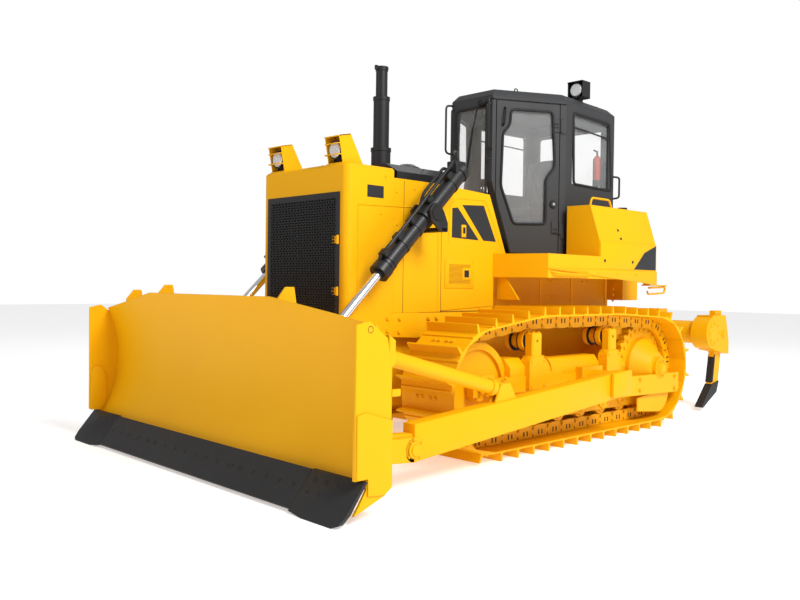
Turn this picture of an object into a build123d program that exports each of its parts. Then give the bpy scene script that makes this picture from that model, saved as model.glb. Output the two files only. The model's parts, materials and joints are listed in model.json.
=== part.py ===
import math
import os

from build123d import *

# Crawler dozer of the 23 tonne class with a straight blade and a three-shank ripper.
# Row frame in millimetres: +Z up from the ground, the blade faces -Y, the machine's left is +X.
# The origin is on the ground, on the centreline, halfway between the blade edge and the ripper.

# Undercarriage
track_x = 1000.0
shoe_width = 560.0
shoes_per_track = 38
shoe_plate = 14.0
grouser_height = 72.0
grouser_base = 30.0
grouser_tip = 16.0
seat_offset = 54.0
rail_offset = 60.0
rail_gap = 92.0
rail_width = 42.0
sprocket_y = 1430.0
sprocket_pin_radius = 468.0
sprocket_teeth = 27
sprocket_width = 76.0
idler_y = -1255.0
idler_pin_radius = 445.0
carrier_y = (-580.0, 640.0)
carrier_pin_z = 1120.0
carrier_radius = 158.0
roller_count = 6
roller_radius = 105.0
roller_first_y = -800.0
roller_last_y = 960.0
rail_relief = 3.0
carrier_relief = 4.0
running_gap = 0.5

# Track frames
frame_width = 250.0
frame_top = 640.0
frame_bottom = 395.0
guard_thickness = 22.0
guard_bottom = 190.0

# Hull between the tracks
hull_half = 450.0
belly_z = 405.0
hull_top = 1000.0
hull_front = -2060.0
hull_rear = 1760.0
tow_bore = 27.0
tow_reach = 70.0
tow_half = 62.0
tow_low = 640.0
tow_high = 760.0
tow_plate = 28.0

# Hood and radiator guard
hood_half = 570.0
guard_front = -2250.0
guard_rear = -1740.0
guard_base = 1024.0
hood_top = 2400.0
sheet = 12.0
grille_half = 462.0
grille_bottom = 1130.0
grille_top = 2120.0
grille_thick = 20.0
door_gap = 6.0
panel_seam = -1160.0
cover_half = 430.0
cover_top = 2460.0
cover_base = 2323.0
console_rear = -440.0
platform_front = -450.0
platform_rear = 1620.0
platform_lip = 8.0
platform_top = 1740.0
platform_depth = 220.0

# Exhaust
exhaust_y = -1370.0
exhaust_radii = (90.0, 77.0, 55.0)
exhaust_levels = (2470.0, 2850.0, 3130.0, 3400.0)

# Tanks
tank_front = 540.0
tank_rear = 1620.0
tank_half = 1090.0
tank_inner = 700.0
tank_top = 2250.0
tank_slant = 116.0
tank_shoulder_z = 1890.0
fuel_tank_rear = 1930.0

# Cab
cab_front_half = 270.0
cab_mid_half = 644.0
cab_rear_half = 572.0
cab_front_y = -130.0
cab_mid_y = 583.0
cab_rear_y = 1602.0
cab_eave_z = 3320.0
cab_roof_z = 3395.0
cab_wall = 46.0
cab_kink_z = 2480.0
cab_toe_y = 70.0
door_near = 70.0
door_far = 45.0
hinge_along = 62.0
hinge_out = 16.0
hinge_radius = 12.0
hinge_levels = (2290.0, 3090.0)

# Blade
blade_half = 1842.0
blade_edge_y = -3390.0
blade_end_z = 1190.0
blade_mid_z = 1345.0
blade_mid_half = 850.0
moldboard = 20.0
moldboard_centre = (-3939.0, 759.0)
moldboard_radius = 955.0
moldboard_foot_z = 200.0
back_depth = 150.0
end_plate = 22.0
edge_top = 252.0
bit_length = 470.0

# Push arms on their trunnions
arm_inner = 1382.0
arm_width = 120.0
arm_pivot = (290.0, 555.0)
arm_pin_radius = 75.0
arm_front_y = -2393.0
arm_front_z = (200.0, 467.0)
arm_rear_z = (430.0, 685.0)
brace_radius = 56.0
brace_offset = 60.0
brace_eye_width = 40.0
brace_rear = (-1450.0, 760.0)
brace_front = (-2780.0, 985.0)

# Blade lift cylinders
lift_x = 750.0
lift_pivot = (-1530.0, 2030.0)
lift_eye = (-2762.0, 859.0)
lift_barrel_radius = 72.0
lift_rod_radius = 36.0
lift_cap = 570.0
lift_gland = 735.0
lift_eye_radius = 58.0
lift_eye_width = 76.0

# Ripper
ripper_pivot = (1900.0, 560.0)
ripper_reach = (980.0, 180.0)
ripper_link_rise = 400.0
ripper_cyl_pivot = (1860.0, 900.0)
ripper_eye = (2500.0, 640.0)
ripper_cyl_x = 200.0
ripper_cap = 105.0
ripper_gland = 455.0
ripper_rod_start = 290.0
ripper_barrel_radius = 62.0
ripper_rod_radius = 30.0
ripper_cyl_pin = 30.0
ripper_link_x = 325.0
ripper_arm_x = 415.0
ripper_arm_width = 70.0
ripper_link_width = 50.0
beam_centre = (3000.0, 917.0)
beam_radius = 135.0
beam_end_radius = 190.0
beam_half = 1100.0
pocket_width = 200.0
pocket_rear = 3390.0
shank_x = (-1000.0, 0.0, 1000.0)
shank_width = 66.0
shank_depth = 175.0
tooth_tip = (2830.0, 35.0)

# Fits
pin_clearance = 0.3
side_clearance = 5.0
seat = 0.3


# Placed primitives and small helpers
def block(x0, x1, y0, y1, z0, z1):
    return Pos((x0 + x1) / 2, (y0 + y1) / 2, (z0 + z1) / 2) * Box(abs(x1 - x0), abs(y1 - y0), abs(z1 - z0))


def side_profile(points, x0, x1):
    """A closed outline of (y, z) points carried from x0 to x1."""
    face = make_face(Polyline(*points, close=True))
    return Pos(min(x0, x1), 0, 0) * extrude(Plane.YZ * face, abs(x1 - x0))


def plan_profile(points, z0, z1):
    """A closed outline of (x, y) points carried from z0 to z1."""
    face = make_face(Polyline(*points, close=True))
    return Pos(0, 0, z0) * extrude(face, z1 - z0)


def front_profile(points, y0, y1):
    """A closed outline of (x, z) points carried from y0 to y1."""
    face = make_face(Polyline(*points, close=True))
    return Pos(0, y1, 0) * extrude(Plane.XZ * face, y1 - y0)


def shaft(centre, radius, x0, x1):
    """A round bar along X through a (y, z) point."""
    turned = Pos((x0 + x1) / 2, centre[0], centre[1]) * Rot(0, 90, 0)
    return turned * Cylinder(radius, abs(x1 - x0))


def post(x, y, radius, z0, z1):
    return Pos(x, y, (z0 + z1) / 2) * Cylinder(radius, z1 - z0)


def bar(start, end, radius):
    """A round bar between two points in space."""
    a = Vector(*start)
    b = Vector(*end)
    middle = (a + b) / 2
    return Plane(origin=middle, z_dir=(b - a).normalized()) * Cylinder(radius, (b - a).length)


def both_sides(shape):
    return [shape, mirror(shape, about=Plane.YZ)]


def gather(*shapes):
    """Separate solids of one node."""
    solids = []
    for shape in shapes:
        if isinstance(shape, (list, tuple)):
            for item in shape:
                solids.extend(item.solids())
        else:
            solids.extend(shape.solids())
    return Compound(children=solids)


def save(name, shape):
    export_step(shape, "parts/" + name + ".step")


def moldboard_point(z, depth=0.0):
    """The moldboard's face at a height, or a point that far behind it."""
    rise = z - moldboard_centre[1]
    return (moldboard_centre[0] + depth + math.sqrt(moldboard_radius ** 2 - rise ** 2), z)


# Levels that follow from the sizes above
moldboard_low = moldboard_point(moldboard_foot_z)
moldboard_high = moldboard_point(blade_mid_z)
cab_floor_z = platform_top + seat
platform_half = tank_half + platform_lip
moldboard_back = moldboard_centre[0] + moldboard_radius + moldboard + seat
pin_height = grouser_height + shoe_plate + seat_offset
sprocket_centre = (sprocket_y, pin_height + sprocket_pin_radius)
idler_centre = (idler_y, pin_height + idler_pin_radius)
rail_face = rail_offset - rail_relief
arm_outer = arm_inner + arm_width
link_u = (ripper_pivot[0], ripper_pivot[1] + ripper_link_rise)
arm_end = (ripper_pivot[0] + ripper_reach[0], ripper_pivot[1] + ripper_reach[1])
link_end = (link_u[0] + ripper_reach[0], link_u[1] + ripper_reach[1])


def unit(a, b):
    length = math.hypot(b[0] - a[0], b[1] - a[1])
    return ((b[0] - a[0]) / length, (b[1] - a[1]) / length)


# The chain line: a belt round sprocket, carrier rollers and idler
def belt_circles():
    carriers = []
    for y in sorted(carrier_y, reverse=True):
        carriers.append((y, carrier_pin_z - carrier_radius, carrier_radius))
    sprocket = (sprocket_centre[0], sprocket_centre[1], sprocket_pin_radius)
    idler = (idler_centre[0], idler_centre[1], idler_pin_radius)
    return [sprocket] + carriers + [idler]


def outer_tangent(a, b):
    """Tangent points of the belt that runs anticlockwise over circle a, then b."""
    dy = b[0] - a[0]
    dz = b[1] - a[1]
    distance = math.hypot(dy, dz)
    heading = math.atan2(dz, dy)
    lean = math.acos((a[2] - b[2]) / distance)
    normal = heading - lean
    start = (a[0] + a[2] * math.cos(normal), a[1] + a[2] * math.sin(normal))
    end = (b[0] + b[2] * math.cos(normal), b[1] + b[2] * math.sin(normal))
    return start, end, normal


def belt_pieces():
    """Straight and curved stretches of the chain line, in order."""
    circles = belt_circles()
    tangents = []
    for index, circle in enumerate(circles):
        following = circles[(index + 1) % len(circles)]
        tangents.append(outer_tangent(circle, following))
    pieces = []
    for index, (start, end, normal) in enumerate(tangents):
        following = circles[(index + 1) % len(circles)]
        next_normal = tangents[(index + 1) % len(tangents)][2]
        sweep = (next_normal - normal) % (2 * math.pi)
        pieces.append(("line", start, end, math.hypot(end[0] - start[0], end[1] - start[1])))
        pieces.append(("arc", following, (normal, sweep), following[2] * sweep))
    return pieces


def belt_stations(count, offset=0.0):
    """Evenly spaced places on the chain line: y, z and the outward angle."""
    pieces = belt_pieces()
    total = sum(piece[3] for piece in pieces)
    stations = []
    for index in range(count):
        along = (index + offset) * total / count % total
        for kind, first, second, length in pieces:
            if along > length:
                along -= length
                continue
            if kind == "line":
                share = along / length
                y = first[0] + (second[0] - first[0]) * share
                z = first[1] + (second[1] - first[1]) * share
                heading = math.atan2(second[1] - first[1], second[0] - first[0])
                stations.append((y, z, heading - math.pi / 2))
            else:
                normal = second[0] + along / first[2]
                stations.append((first[0] + first[2] * math.cos(normal), first[1] + first[2] * math.sin(normal), normal))
            break
    return stations


def belt_corner(station, along, out):
    """A point given by its travel along the chain and its distance outwards."""
    y, z, normal = station
    tangent = normal + math.pi / 2
    return (
        y + along * math.cos(tangent) + out * math.cos(normal),
        z + along * math.sin(tangent) + out * math.sin(normal),
    )


def shoe_spacing():
    return sum(piece[3] for piece in belt_pieces()) / shoes_per_track


def track(side):
    """The shoes as one closed outline, on two rails of links."""
    stations = belt_stations(shoes_per_track)
    half = shoe_spacing() / 2
    plate_out = seat_offset + shoe_plate
    tip = plate_out + grouser_height
    outer = []
    inner = []
    for station in stations:
        outer.append(belt_corner(station, -half + 2 * grouser_base, plate_out))
        outer.append(belt_corner(station, half - grouser_base, plate_out))
        outer.append(belt_corner(station, half - grouser_base / 2 - grouser_tip / 2, tip))
        outer.append(belt_corner(station, half - grouser_base / 2 + grouser_tip / 2, tip))
        outer.append(belt_corner(station, half, plate_out))
        inner.append(belt_corner(station, 0, seat_offset))
    ring = make_face(Polyline(*outer, close=True)) - make_face(Polyline(*inner, close=True))
    low_x = side * track_x - shoe_width / 2
    shoes = Pos(low_x, 0, 0) * extrude(Plane.YZ * ring, shoe_width)
    rail_inner = []
    rail_outer = []
    for station in belt_stations(2 * shoes_per_track, 0.5):
        rail_inner.append(belt_corner(station, 0, -rail_face))
    for station in stations:
        rail_outer.append(belt_corner(station, 0, seat_offset))
    link_ring = make_face(Polyline(*rail_outer, close=True)) - make_face(Polyline(*rail_inner, close=True))
    result = shoes
    for sign in (-1, 1):
        middle = side * track_x + sign * (rail_gap + rail_width) / 2
        result += Pos(middle - rail_width / 2, 0, 0) * extrude(Plane.YZ * link_ring, rail_width)
    return result


def sprocket(side):
    """The toothed ring, bolted on the final drive."""
    root = sprocket_pin_radius - 42
    tip = sprocket_pin_radius - 4
    points = []
    for tooth in range(sprocket_teeth):
        for share, radius in ((-0.3, root), (-0.12, tip), (0.12, tip), (0.3, root)):
            angle = 2 * math.pi * (tooth + share) / sprocket_teeth
            points.append((sprocket_centre[0] + radius * math.cos(angle), sprocket_centre[1] + radius * math.sin(angle)))
    x0 = side * track_x - sprocket_width / 2
    ring = side_profile(points, x0, x0 + sprocket_width)
    return ring - shaft(sprocket_centre, sprocket_pin_radius - 110, x0 - 1, x0 + sprocket_width + 1)


def final_drive(side):
    """The housing from the hull to the outer hub."""
    inner = shaft(sprocket_centre, 250, side * (hull_half + seat), side * (track_x - 170))
    drum = shaft(sprocket_centre, 300, side * (track_x - 180), side * (track_x + 80))
    flange_half = sprocket_width / 2
    drum += shaft(sprocket_centre, sprocket_pin_radius - 110 - seat, side * track_x - flange_half, side * track_x + flange_half)
    cone = Pos(side * (track_x + 80), *sprocket_centre) * Rot(0, 90 * side, 0) * Pos(0, 0, 85) * Cone(300, 150, 170)
    hub = shaft(sprocket_centre, 120, side * (track_x + 240), side * (track_x + 330))
    return inner + drum + cone + hub


def idler(side):
    """The spoked disc that guides the chain at the front."""
    chord = math.cos(shoe_spacing() / idler_pin_radius / 4)
    tread = (idler_pin_radius - rail_face) * chord - running_gap
    middle = side * track_x
    wheel = shaft(idler_centre, tread, middle - 88, middle + 88)
    wheel += shaft(idler_centre, tread + 22, middle - rail_gap / 2 + 6, middle + rail_gap / 2 - 6)
    for sign in (-1, 1):
        wheel -= shaft(idler_centre, tread - 60, middle + sign * 60, middle + sign * 90)
    wheel += shaft(idler_centre, 70, middle - 125, middle + 125)
    return wheel


def roller_places():
    step = (roller_last_y - roller_first_y) / (roller_count - 1)
    return [roller_first_y + step * index for index in range(roller_count)]


def track_rollers():
    roller_half = frame_width / 2 - guard_thickness - seat
    centre_z = pin_height + rail_face + seat + roller_radius
    found = []
    for side in (-1, 1):
        for y in roller_places():
            roller = shaft((y, centre_z), roller_radius, side * track_x - 85, side * track_x + 85)
            roller -= shaft((y, centre_z), roller_radius + 5, side * track_x - 46, side * track_x + 46)
            roller += shaft((y, centre_z), roller_radius - 25, side * track_x - roller_half, side * track_x + roller_half)
            found.append(roller)
    return gather(found)


def carrier_rollers():
    centre_z = carrier_pin_z - carrier_radius
    tread = carrier_radius - rail_face - carrier_relief
    found = []
    for side in (-1, 1):
        for y in carrier_y:
            roller = shaft((y, centre_z), tread - 22, side * track_x - 90, side * track_x + 90)
            for sign in (-1, 1):
                middle = side * track_x + sign * (rail_gap + rail_width) / 2
                roller += shaft((y, centre_z), tread, middle - 26, middle + 26)
            roller += shaft((y, centre_z), 34, side * (track_x + 90), side * (track_x + 150))
            found.append(roller)
    return gather(found)


def track_frame(side):
    """Box beam with roller guards, recoil housing, idler yoke and brackets."""
    half = frame_width / 2
    front = idler_y + idler_pin_radius - 20
    rear = sprocket_y - sprocket_pin_radius - 30
    middle = side * track_x
    beam = block(middle - half, middle + half, front, rear, frame_bottom + 20, frame_top)
    recoil = Pos(middle, (front + 20) / 2 + 40, frame_top) * Rot(90, 0, 0) * Cylinder(half, 520)
    recoil = recoil & block(middle - half, middle + half, -2000, 2000, frame_top - 10, frame_top + 400)
    frame = beam + recoil
    fork_z = idler_centre[1]
    for sign in (-1, 1):
        x0 = middle + sign * (half + 1)
        x1 = middle + sign * (half + 1 + 34)
        frame += block(x0 - sign * 34, x1, idler_y - 130, front + 220, fork_z - 60, fork_z + 75)
        frame -= shaft(idler_centre, 70 + running_gap, x0 - sign * 40, x1 + sign)
    guard_front_y = roller_first_y - 60
    guard_rear_y = roller_last_y + 150
    for sign in (-1, 1):
        x0 = middle + sign * (half - guard_thickness)
        x1 = middle + sign * half
        frame += block(x0, x1, guard_front_y, guard_rear_y, guard_bottom + 60, frame_bottom + 60)
    for y in carrier_y:
        arm = block(middle + side * 115, middle + side * 185, y - 70, y + 70, frame_top - 40, carrier_pin_z - carrier_radius + 60)
        frame += arm - shaft((y, carrier_pin_z - carrier_radius), 34 + seat, middle, middle + side * 190)
    trunnion_pin = shaft(arm_pivot, arm_pin_radius, middle + side * half, side * (arm_outer + 10))
    trunnion_base = block(middle + side * (half - 20), middle + side * (half + 70), arm_pivot[0] - 170, arm_pivot[0] + 170, 430, 690)
    collar = shaft(arm_pivot, arm_pin_radius + 30, middle + side * half, side * (arm_inner - side_clearance))
    cap = shaft(arm_pivot, arm_pin_radius + 25, side * (arm_outer + side_clearance), side * (arm_outer + 35))
    frame += trunnion_pin + trunnion_base + collar + cap
    pivot_shaft = shaft((rear - 90, 560), 80, side * (hull_half + seat), middle - side * half)
    equaliser = block(side * (hull_half + seat), middle - side * (half - 5), -420, -280, 470, 580)
    return frame + pivot_shaft + equaliser


def main_frame():
    """Hull with its sloped belly, carrying engine, platform and ripper."""
    outline = [
        (hull_front, 600),
        (hull_front + 260, belly_z),
        (hull_rear - 300, belly_z),
        (hull_rear, belly_z + 160),
        (hull_rear, hull_top),
        (hull_front, hull_top),
    ]
    hull = side_profile(outline, -hull_half, hull_half)
    tow_y = hull_front - tow_reach
    for low in (tow_low, tow_high - tow_plate):
        plate = block(-tow_half, tow_half, tow_y, hull_front + 10, low, low + tow_plate) + post(0, tow_y, tow_half, low, low + tow_plate)
        hull += plate - post(0, tow_y, tow_bore, low - 1, low + tow_plate + 1)
    return hull


def engine_block():
    return block(-330, 330, -1560, -560, hull_top, 1820)


def radiator_core():
    return block(-440, 440, -2040, -1900, hull_top + seat, grille_top)


def radiator_guard():
    """Front housing: two side walls, a head and a foot round the core."""
    wall = hood_half - grille_half - door_gap
    shell = block(-hood_half, hood_half, guard_front, guard_rear, guard_base, hood_top)
    shell = fillet(shell.edges().filter_by(Axis.Z).sort_by(Axis.Y)[:2], 60)
    shell = chamfer(shell.edges().filter_by(Axis.Y).sort_by(Axis.Z)[-2:], 20)
    shell -= block(-hood_half + sheet, hood_half - sheet, guard_front + 90, guard_rear + 1, guard_base - 1, hood_top - sheet)
    opening = hood_half - wall
    shell -= block(-opening, opening, guard_front - 1, guard_front + 91, grille_bottom - door_gap, grille_top + door_gap)
    foot = block(-hood_half + sheet, hood_half - sheet, guard_front + 90, guard_front + 200, hull_top + seat, grille_bottom - door_gap)
    return shell + foot


def grille_door():
    """Framed grille door with slots, hung on the guard's left post."""
    panel = block(-grille_half, grille_half, guard_front, guard_front + grille_thick, grille_bottom, grille_top)
    rows = 16
    pitch = (grille_top - grille_bottom - 160) / rows
    for index in range(rows):
        z = grille_bottom + 80 + pitch * (index + 0.5)
        panel -= block(-grille_half + 70, grille_half - 70, guard_front - 1, guard_front + 30, z - pitch * 0.3, z + pitch * 0.3)
    return panel


def grille_hinges():
    found = []
    for z in (grille_bottom + 250, grille_top - 330):
        knuckle = post(grille_half + 18, guard_front - 16, 11, z - 35, z + 35)
        knuckle += block(grille_half - 40, grille_half + 18, guard_front - 22, guard_front - seat, z - 28, z + 28)
        found.append(knuckle)
    return gather(found)


def engine_hood():
    """Side and top sheets between the radiator guard and the console."""
    top = cover_base - seat
    shell = block(-hood_half, hood_half, guard_rear + seat, panel_seam - seat, guard_base + 180, top)
    inside = block(-hood_half + sheet, hood_half - sheet, guard_rear, panel_seam, guard_base, top - sheet)
    return shell - inside


def hood_cover():
    """Black cover over the rear of the engine bay."""
    outline = [
        (-hood_half, cover_base),
        (hood_half, cover_base),
        (hood_half, cover_base + 60),
        (cover_half, cover_top),
        (-cover_half, cover_top),
        (-hood_half, cover_base + 60),
    ]
    return front_profile(outline, guard_rear + 34, panel_seam + 170)


def exhaust_stack():
    pipe = post(0, exhaust_y, exhaust_radii[0], cover_top + seat, exhaust_levels[0] + 80)
    for index in range(3):
        pipe += post(0, exhaust_y, exhaust_radii[index], exhaust_levels[index], exhaust_levels[index + 1])
    return pipe


def hood_lamps():
    found = []
    for side in (-1, 1):
        x = side * 390
        housing = side_profile(
            [(guard_front + 30, hood_top + seat), (guard_front - 10, 2620), (guard_front + 170, 2650), (guard_front + 360, hood_top + seat)],
            x - 92,
            x + 92,
        )
        found.append(housing)
    return gather(found)


def console():
    """Cowl in front of the cab with its access panels."""
    outline = [
        (panel_seam + seat, 1215),
        (console_rear, 1250),
        (console_rear, platform_top + seat),
        (-262, platform_top + seat),
        (-512, 2286),
        (-772, 2300),
        (panel_seam + seat, 2318),
    ]
    shell = side_profile(outline, -hood_half, hood_half)
    return shell - block(-hood_half + sheet, hood_half - sheet, panel_seam - 10, console_rear - sheet, hull_top, 1900)


def platform():
    """Fenders and floor round the cab."""
    def half(side):
        outline = [
            (side * (hood_half + seat), platform_front),
            (side * platform_half, platform_front + 140),
            (side * platform_half, platform_rear),
            (side * (hull_half + seat), platform_rear),
            (side * (hull_half + seat), console_rear + seat),
            (side * (hood_half + seat), console_rear + seat),
        ]
        return plan_profile(outline, platform_top - platform_depth, platform_top)
    centre = block(-hull_half - seat, hull_half + seat, console_rear + seat, platform_rear, platform_top - 120, platform_top)
    deck = half(1) + half(-1) + centre
    for side in (-1, 1):
        deck -= block(
            side * (hull_half + 60), side * (platform_half - 30), platform_front + 180, platform_rear - 30, hull_top, platform_top - 30
        )
        deck += block(side * (hull_half - 30), side * (hull_half + 60), console_rear + seat, platform_rear, hull_top + seat, platform_top - 20)
    return deck


def side_tanks():
    found = []
    for side in (-1, 1):
        outline = [
            (side * tank_inner, platform_top + seat),
            (side * tank_half, platform_top + seat),
            (side * tank_half, tank_shoulder_z),
            (side * (tank_half - tank_slant), tank_top),
            (side * tank_inner, tank_top),
        ]
        found.append(front_profile(outline, tank_front, tank_rear))
    return gather(found)


def fuel_tank():
    body = block(-tank_inner, tank_inner, platform_rear + seat, fuel_tank_rear, 1300, tank_top)
    return fillet(body.edges().filter_by(Axis.X).sort_by(Axis.Z)[-2:], 60)


def cab_plan(inset=0.0):
    return [
        (cab_front_half - inset * 0.6, cab_front_y + inset),
        (cab_mid_half - inset, cab_mid_y),
        (cab_rear_half - inset, cab_rear_y - inset),
        (-cab_rear_half + inset, cab_rear_y - inset),
        (-cab_mid_half + inset, cab_mid_y),
        (-cab_front_half + inset * 0.6, cab_front_y + inset),
    ]


def cab_toe():
    """The wedge that the sloping lower front cuts off the cab."""
    wedge = [(cab_front_y - 50, 1000), (cab_toe_y, 1000), (cab_toe_y, cab_floor_z), (cab_front_y, cab_kink_z), (cab_front_y - 50, cab_kink_z)]
    return side_profile(wedge, -1000, 1000)


def cab_shell():
    outer = plan_profile(cab_plan(), cab_floor_z, cab_eave_z)
    return outer - plan_profile(cab_plan(cab_wall), cab_floor_z - 1, cab_eave_z + 1) - cab_toe()


def door_direction():
    """Unit vectors along and out of the left door's face, from its rear edge."""
    dx = cab_front_half - cab_mid_half
    dy = cab_front_y - cab_mid_y
    length = math.hypot(dx, dy)
    along = (dx / length, dy / length)
    return along, (-along[1], along[0]), length


def on_door(distance, out):
    along, normal, _ = door_direction()
    x = cab_mid_half + along[0] * distance + normal[0] * out
    y = cab_mid_y + along[1] * distance + normal[1] * out
    return (x, y)


def door_region(grow):
    """The space of the left door, between its posts."""
    _, _, length = door_direction()
    near = door_near - grow
    far = length - door_far + grow
    corners = [on_door(near, 120), on_door(far, 120), on_door(far, -90), on_door(near, -90)]
    return plan_profile(corners, cab_floor_z + 30 - grow, cab_eave_z - 40 + grow)


def door_hinge(z):
    """A knuckle on the swing line with its strap on the door."""
    strap = [
        on_door(hinge_along, hinge_out - hinge_radius),
        on_door(door_near + 8, -1),
        on_door(door_near + 70, -1),
        on_door(door_near + 70, hinge_out - 4),
        on_door(hinge_along, hinge_out + hinge_radius),
    ]
    return post(*on_door(hinge_along, hinge_out), hinge_radius, z - 45, z + 45) + plan_profile(strap, z - 30, z + 30)


def door_panel():
    panel = cab_shell() & door_region(0)
    _, _, length = door_direction()
    corners = [on_door(130, 60), on_door(length - 190, 60), on_door(length - 190, -90), on_door(130, -90)]
    panel -= plan_profile(corners, cab_floor_z + 260, cab_eave_z - 170)
    for z in hinge_levels:
        panel += door_hinge(z)
    return panel


def door_pane():
    _, _, length = door_direction()
    corners = [on_door(130 + seat, -18), on_door(length - 190 - seat, -18), on_door(length - 190 - seat, -26), on_door(130 + seat, -26)]
    return plan_profile(corners, cab_floor_z + 260 + seat, cab_eave_z - 170 - seat)


def cab_frame():
    """Walls and posts without the doors, roof and floor."""
    region = door_region(door_gap)
    shell = cab_shell() - region - mirror(region, about=Plane.YZ)
    shell -= front_profile(
        [(-200, 2180), (200, 2180), (200, cab_eave_z - 110), (-200, cab_eave_z - 110)], cab_front_y - 10, cab_front_y + 90
    )
    shell -= front_profile(
        [(-430, 2330), (430, 2330), (430, cab_eave_z - 120), (-430, cab_eave_z - 120)], cab_rear_y - 90, cab_rear_y + 10
    )
    shell -= side_profile(
        [(cab_mid_y + 130, 2330), (cab_rear_y - 130, 2330), (cab_rear_y - 130, cab_eave_z - 120), (cab_mid_y + 130, cab_eave_z - 120)],
        -1000,
        1000,
    )
    return shell


def cab_glass():
    front = block(-200 + seat, 200 - seat, cab_front_y + 18, cab_front_y + 26, 2180 + seat, cab_eave_z - 110 - seat)
    rear = block(-430 + seat, 430 - seat, cab_rear_y - 26, cab_rear_y - 18, 2330 + seat, cab_eave_z - 120 - seat)
    y0 = cab_mid_y + 130 + seat
    y1 = cab_rear_y - 130 - seat
    slope = (cab_rear_half - cab_mid_half) / (cab_rear_y - cab_mid_y)
    x0 = cab_mid_half + slope * (y0 - cab_mid_y) - 22
    x1 = cab_mid_half + slope * (y1 - cab_mid_y) - 22
    quarter = plan_profile([(x0, y0), (x1, y1), (x1 - 8, y1), (x0 - 8, y0)], 2330 + seat, cab_eave_z - 120 - seat)
    return gather(front, rear, both_sides(quarter))


def cab_floor():
    floor = plan_profile(cab_plan(cab_wall + seat), cab_floor_z, cab_floor_z + 40)
    return floor - block(-1000, 1000, -400, cab_toe_y + cab_wall + 20, 1000, 2000)


def cab_roof():
    """Roof with chamfered edges, resting on the walls."""
    roof = plan_profile(cab_plan(-14), cab_eave_z + seat, cab_roof_z)
    return chamfer(roof.faces().sort_by(Axis.Z)[-1].edges(), 45)


def operator_seat():
    cushion = block(-240, 240, 620, 1110, cab_floor_z + 400, cab_floor_z + 520)
    back = block(-230, 230, 1110, 1230, cab_floor_z + 420, cab_floor_z + 1080)
    base = block(-200, 200, 680, 1060, cab_floor_z + 40 + seat, cab_floor_z + 400)
    return cushion + back + base


def cab_controls():
    left = block(300, 480, 500, 1150, cab_floor_z + 40 + seat, cab_floor_z + 560)
    right = block(-480, -300, 500, 1150, cab_floor_z + 40 + seat, cab_floor_z + 560)
    left += bar((390, 560, cab_floor_z + 540), (390, 500, cab_floor_z + 760), 14)
    right += bar((-390, 560, cab_floor_z + 540), (-390, 500, cab_floor_z + 760), 14)
    dash = block(-170, 170, 150, 250, cab_floor_z + 40 + seat, cab_floor_z + 620)
    return gather(left, right, dash)


def cab_lamps():
    found = []
    for side in (-1, 1):
        found.append(block(side * 430, side * 620, cab_mid_y + 330, cab_mid_y + 470, cab_roof_z + seat, cab_roof_z + 150))
    return gather(found)


# The blade and what moves with it
def blade_trim():
    """Front outline of the moldboard with its raised middle."""
    outline = [
        (-blade_half, 0),
        (blade_half, 0),
        (blade_half, blade_end_z),
        (blade_mid_half, blade_mid_z),
        (-blade_mid_half, blade_mid_z),
        (-blade_half, blade_end_z),
    ]
    return front_profile(outline, blade_edge_y - 100, -2500)


def moldboard_plate():
    low = moldboard_low
    deep = moldboard_point(moldboard_centre[1])
    high = moldboard_high
    front = ThreePointArc(low, deep, high)
    back = ThreePointArc((high[0] + moldboard, high[1]), (deep[0] + moldboard, deep[1]), (low[0] + moldboard, low[1]))
    face = make_face([front, Line(high, (high[0] + moldboard, high[1])), back, Line((low[0] + moldboard, low[1]), low)])
    plate = Pos(-blade_half, 0, 0) * extrude(Plane.YZ * face, 2 * blade_half)
    return plate & blade_trim()


def blade_back():
    """Box beams behind the moldboard."""
    y0 = moldboard_back
    depth = y0 + back_depth
    lower = side_profile([(y0, 170), (depth, 200), (depth, 440), (y0, 480)], -blade_half, blade_half)
    upper = side_profile([(y0, 900), (y0 + 60, 940), (y0 + 60, 1090), (y0, 1130)], -blade_half, blade_half)
    ear = [(y0, 900), (brace_front[0] + 60, brace_front[1] - 60), (brace_front[0] + 60, brace_front[1] + 50), (y0, 1120)]
    for side in (-1, 1):
        for sign in (-1, 1):
            x0 = side * (arm_inner + brace_offset) + sign * (brace_eye_width / 2 + seat)
            upper += side_profile(ear, x0, x0 + sign * 20)
    return gather(lower, upper)


def end_plates():
    found = []
    for side in (-1, 1):
        outline = [
            (moldboard_low[0] - 60, edge_top + 8),
            (moldboard_low[0] + seat, edge_top + 8),
            (moldboard_low[0] + seat, moldboard_low[1] - 5),
            (-3265, 60),
            (-3150, 60),
            (-2960, 150),
            (-2960, 1150),
            (-3060, 1250),
            (-3110, 1250),
            (moldboard_high[0] - 30, blade_end_z),
            (moldboard_high[0] - 30, 900),
            (moldboard_low[0] - 60, 500),
        ]
        found.append(side_profile(outline, side * (blade_half + seat), side * (blade_half + end_plate)))
    return gather(found)


def cutting_edge():
    back = moldboard_low[0] - seat
    outline = [
        (back, edge_top - 22),
        (back - 26, edge_top),
        (blade_edge_y, 12),
        (blade_edge_y + 14, 0),
        (blade_edge_y + 45, 0),
        (back, moldboard_low[1] - 5),
    ]
    centre = side_profile(outline, -blade_half + bit_length, blade_half - bit_length)
    found = [centre]
    for side in (-1, 1):
        found.append(side_profile(outline, side * (blade_half - bit_length + 2), side * (blade_half + 40)))
    return gather(found)


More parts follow.
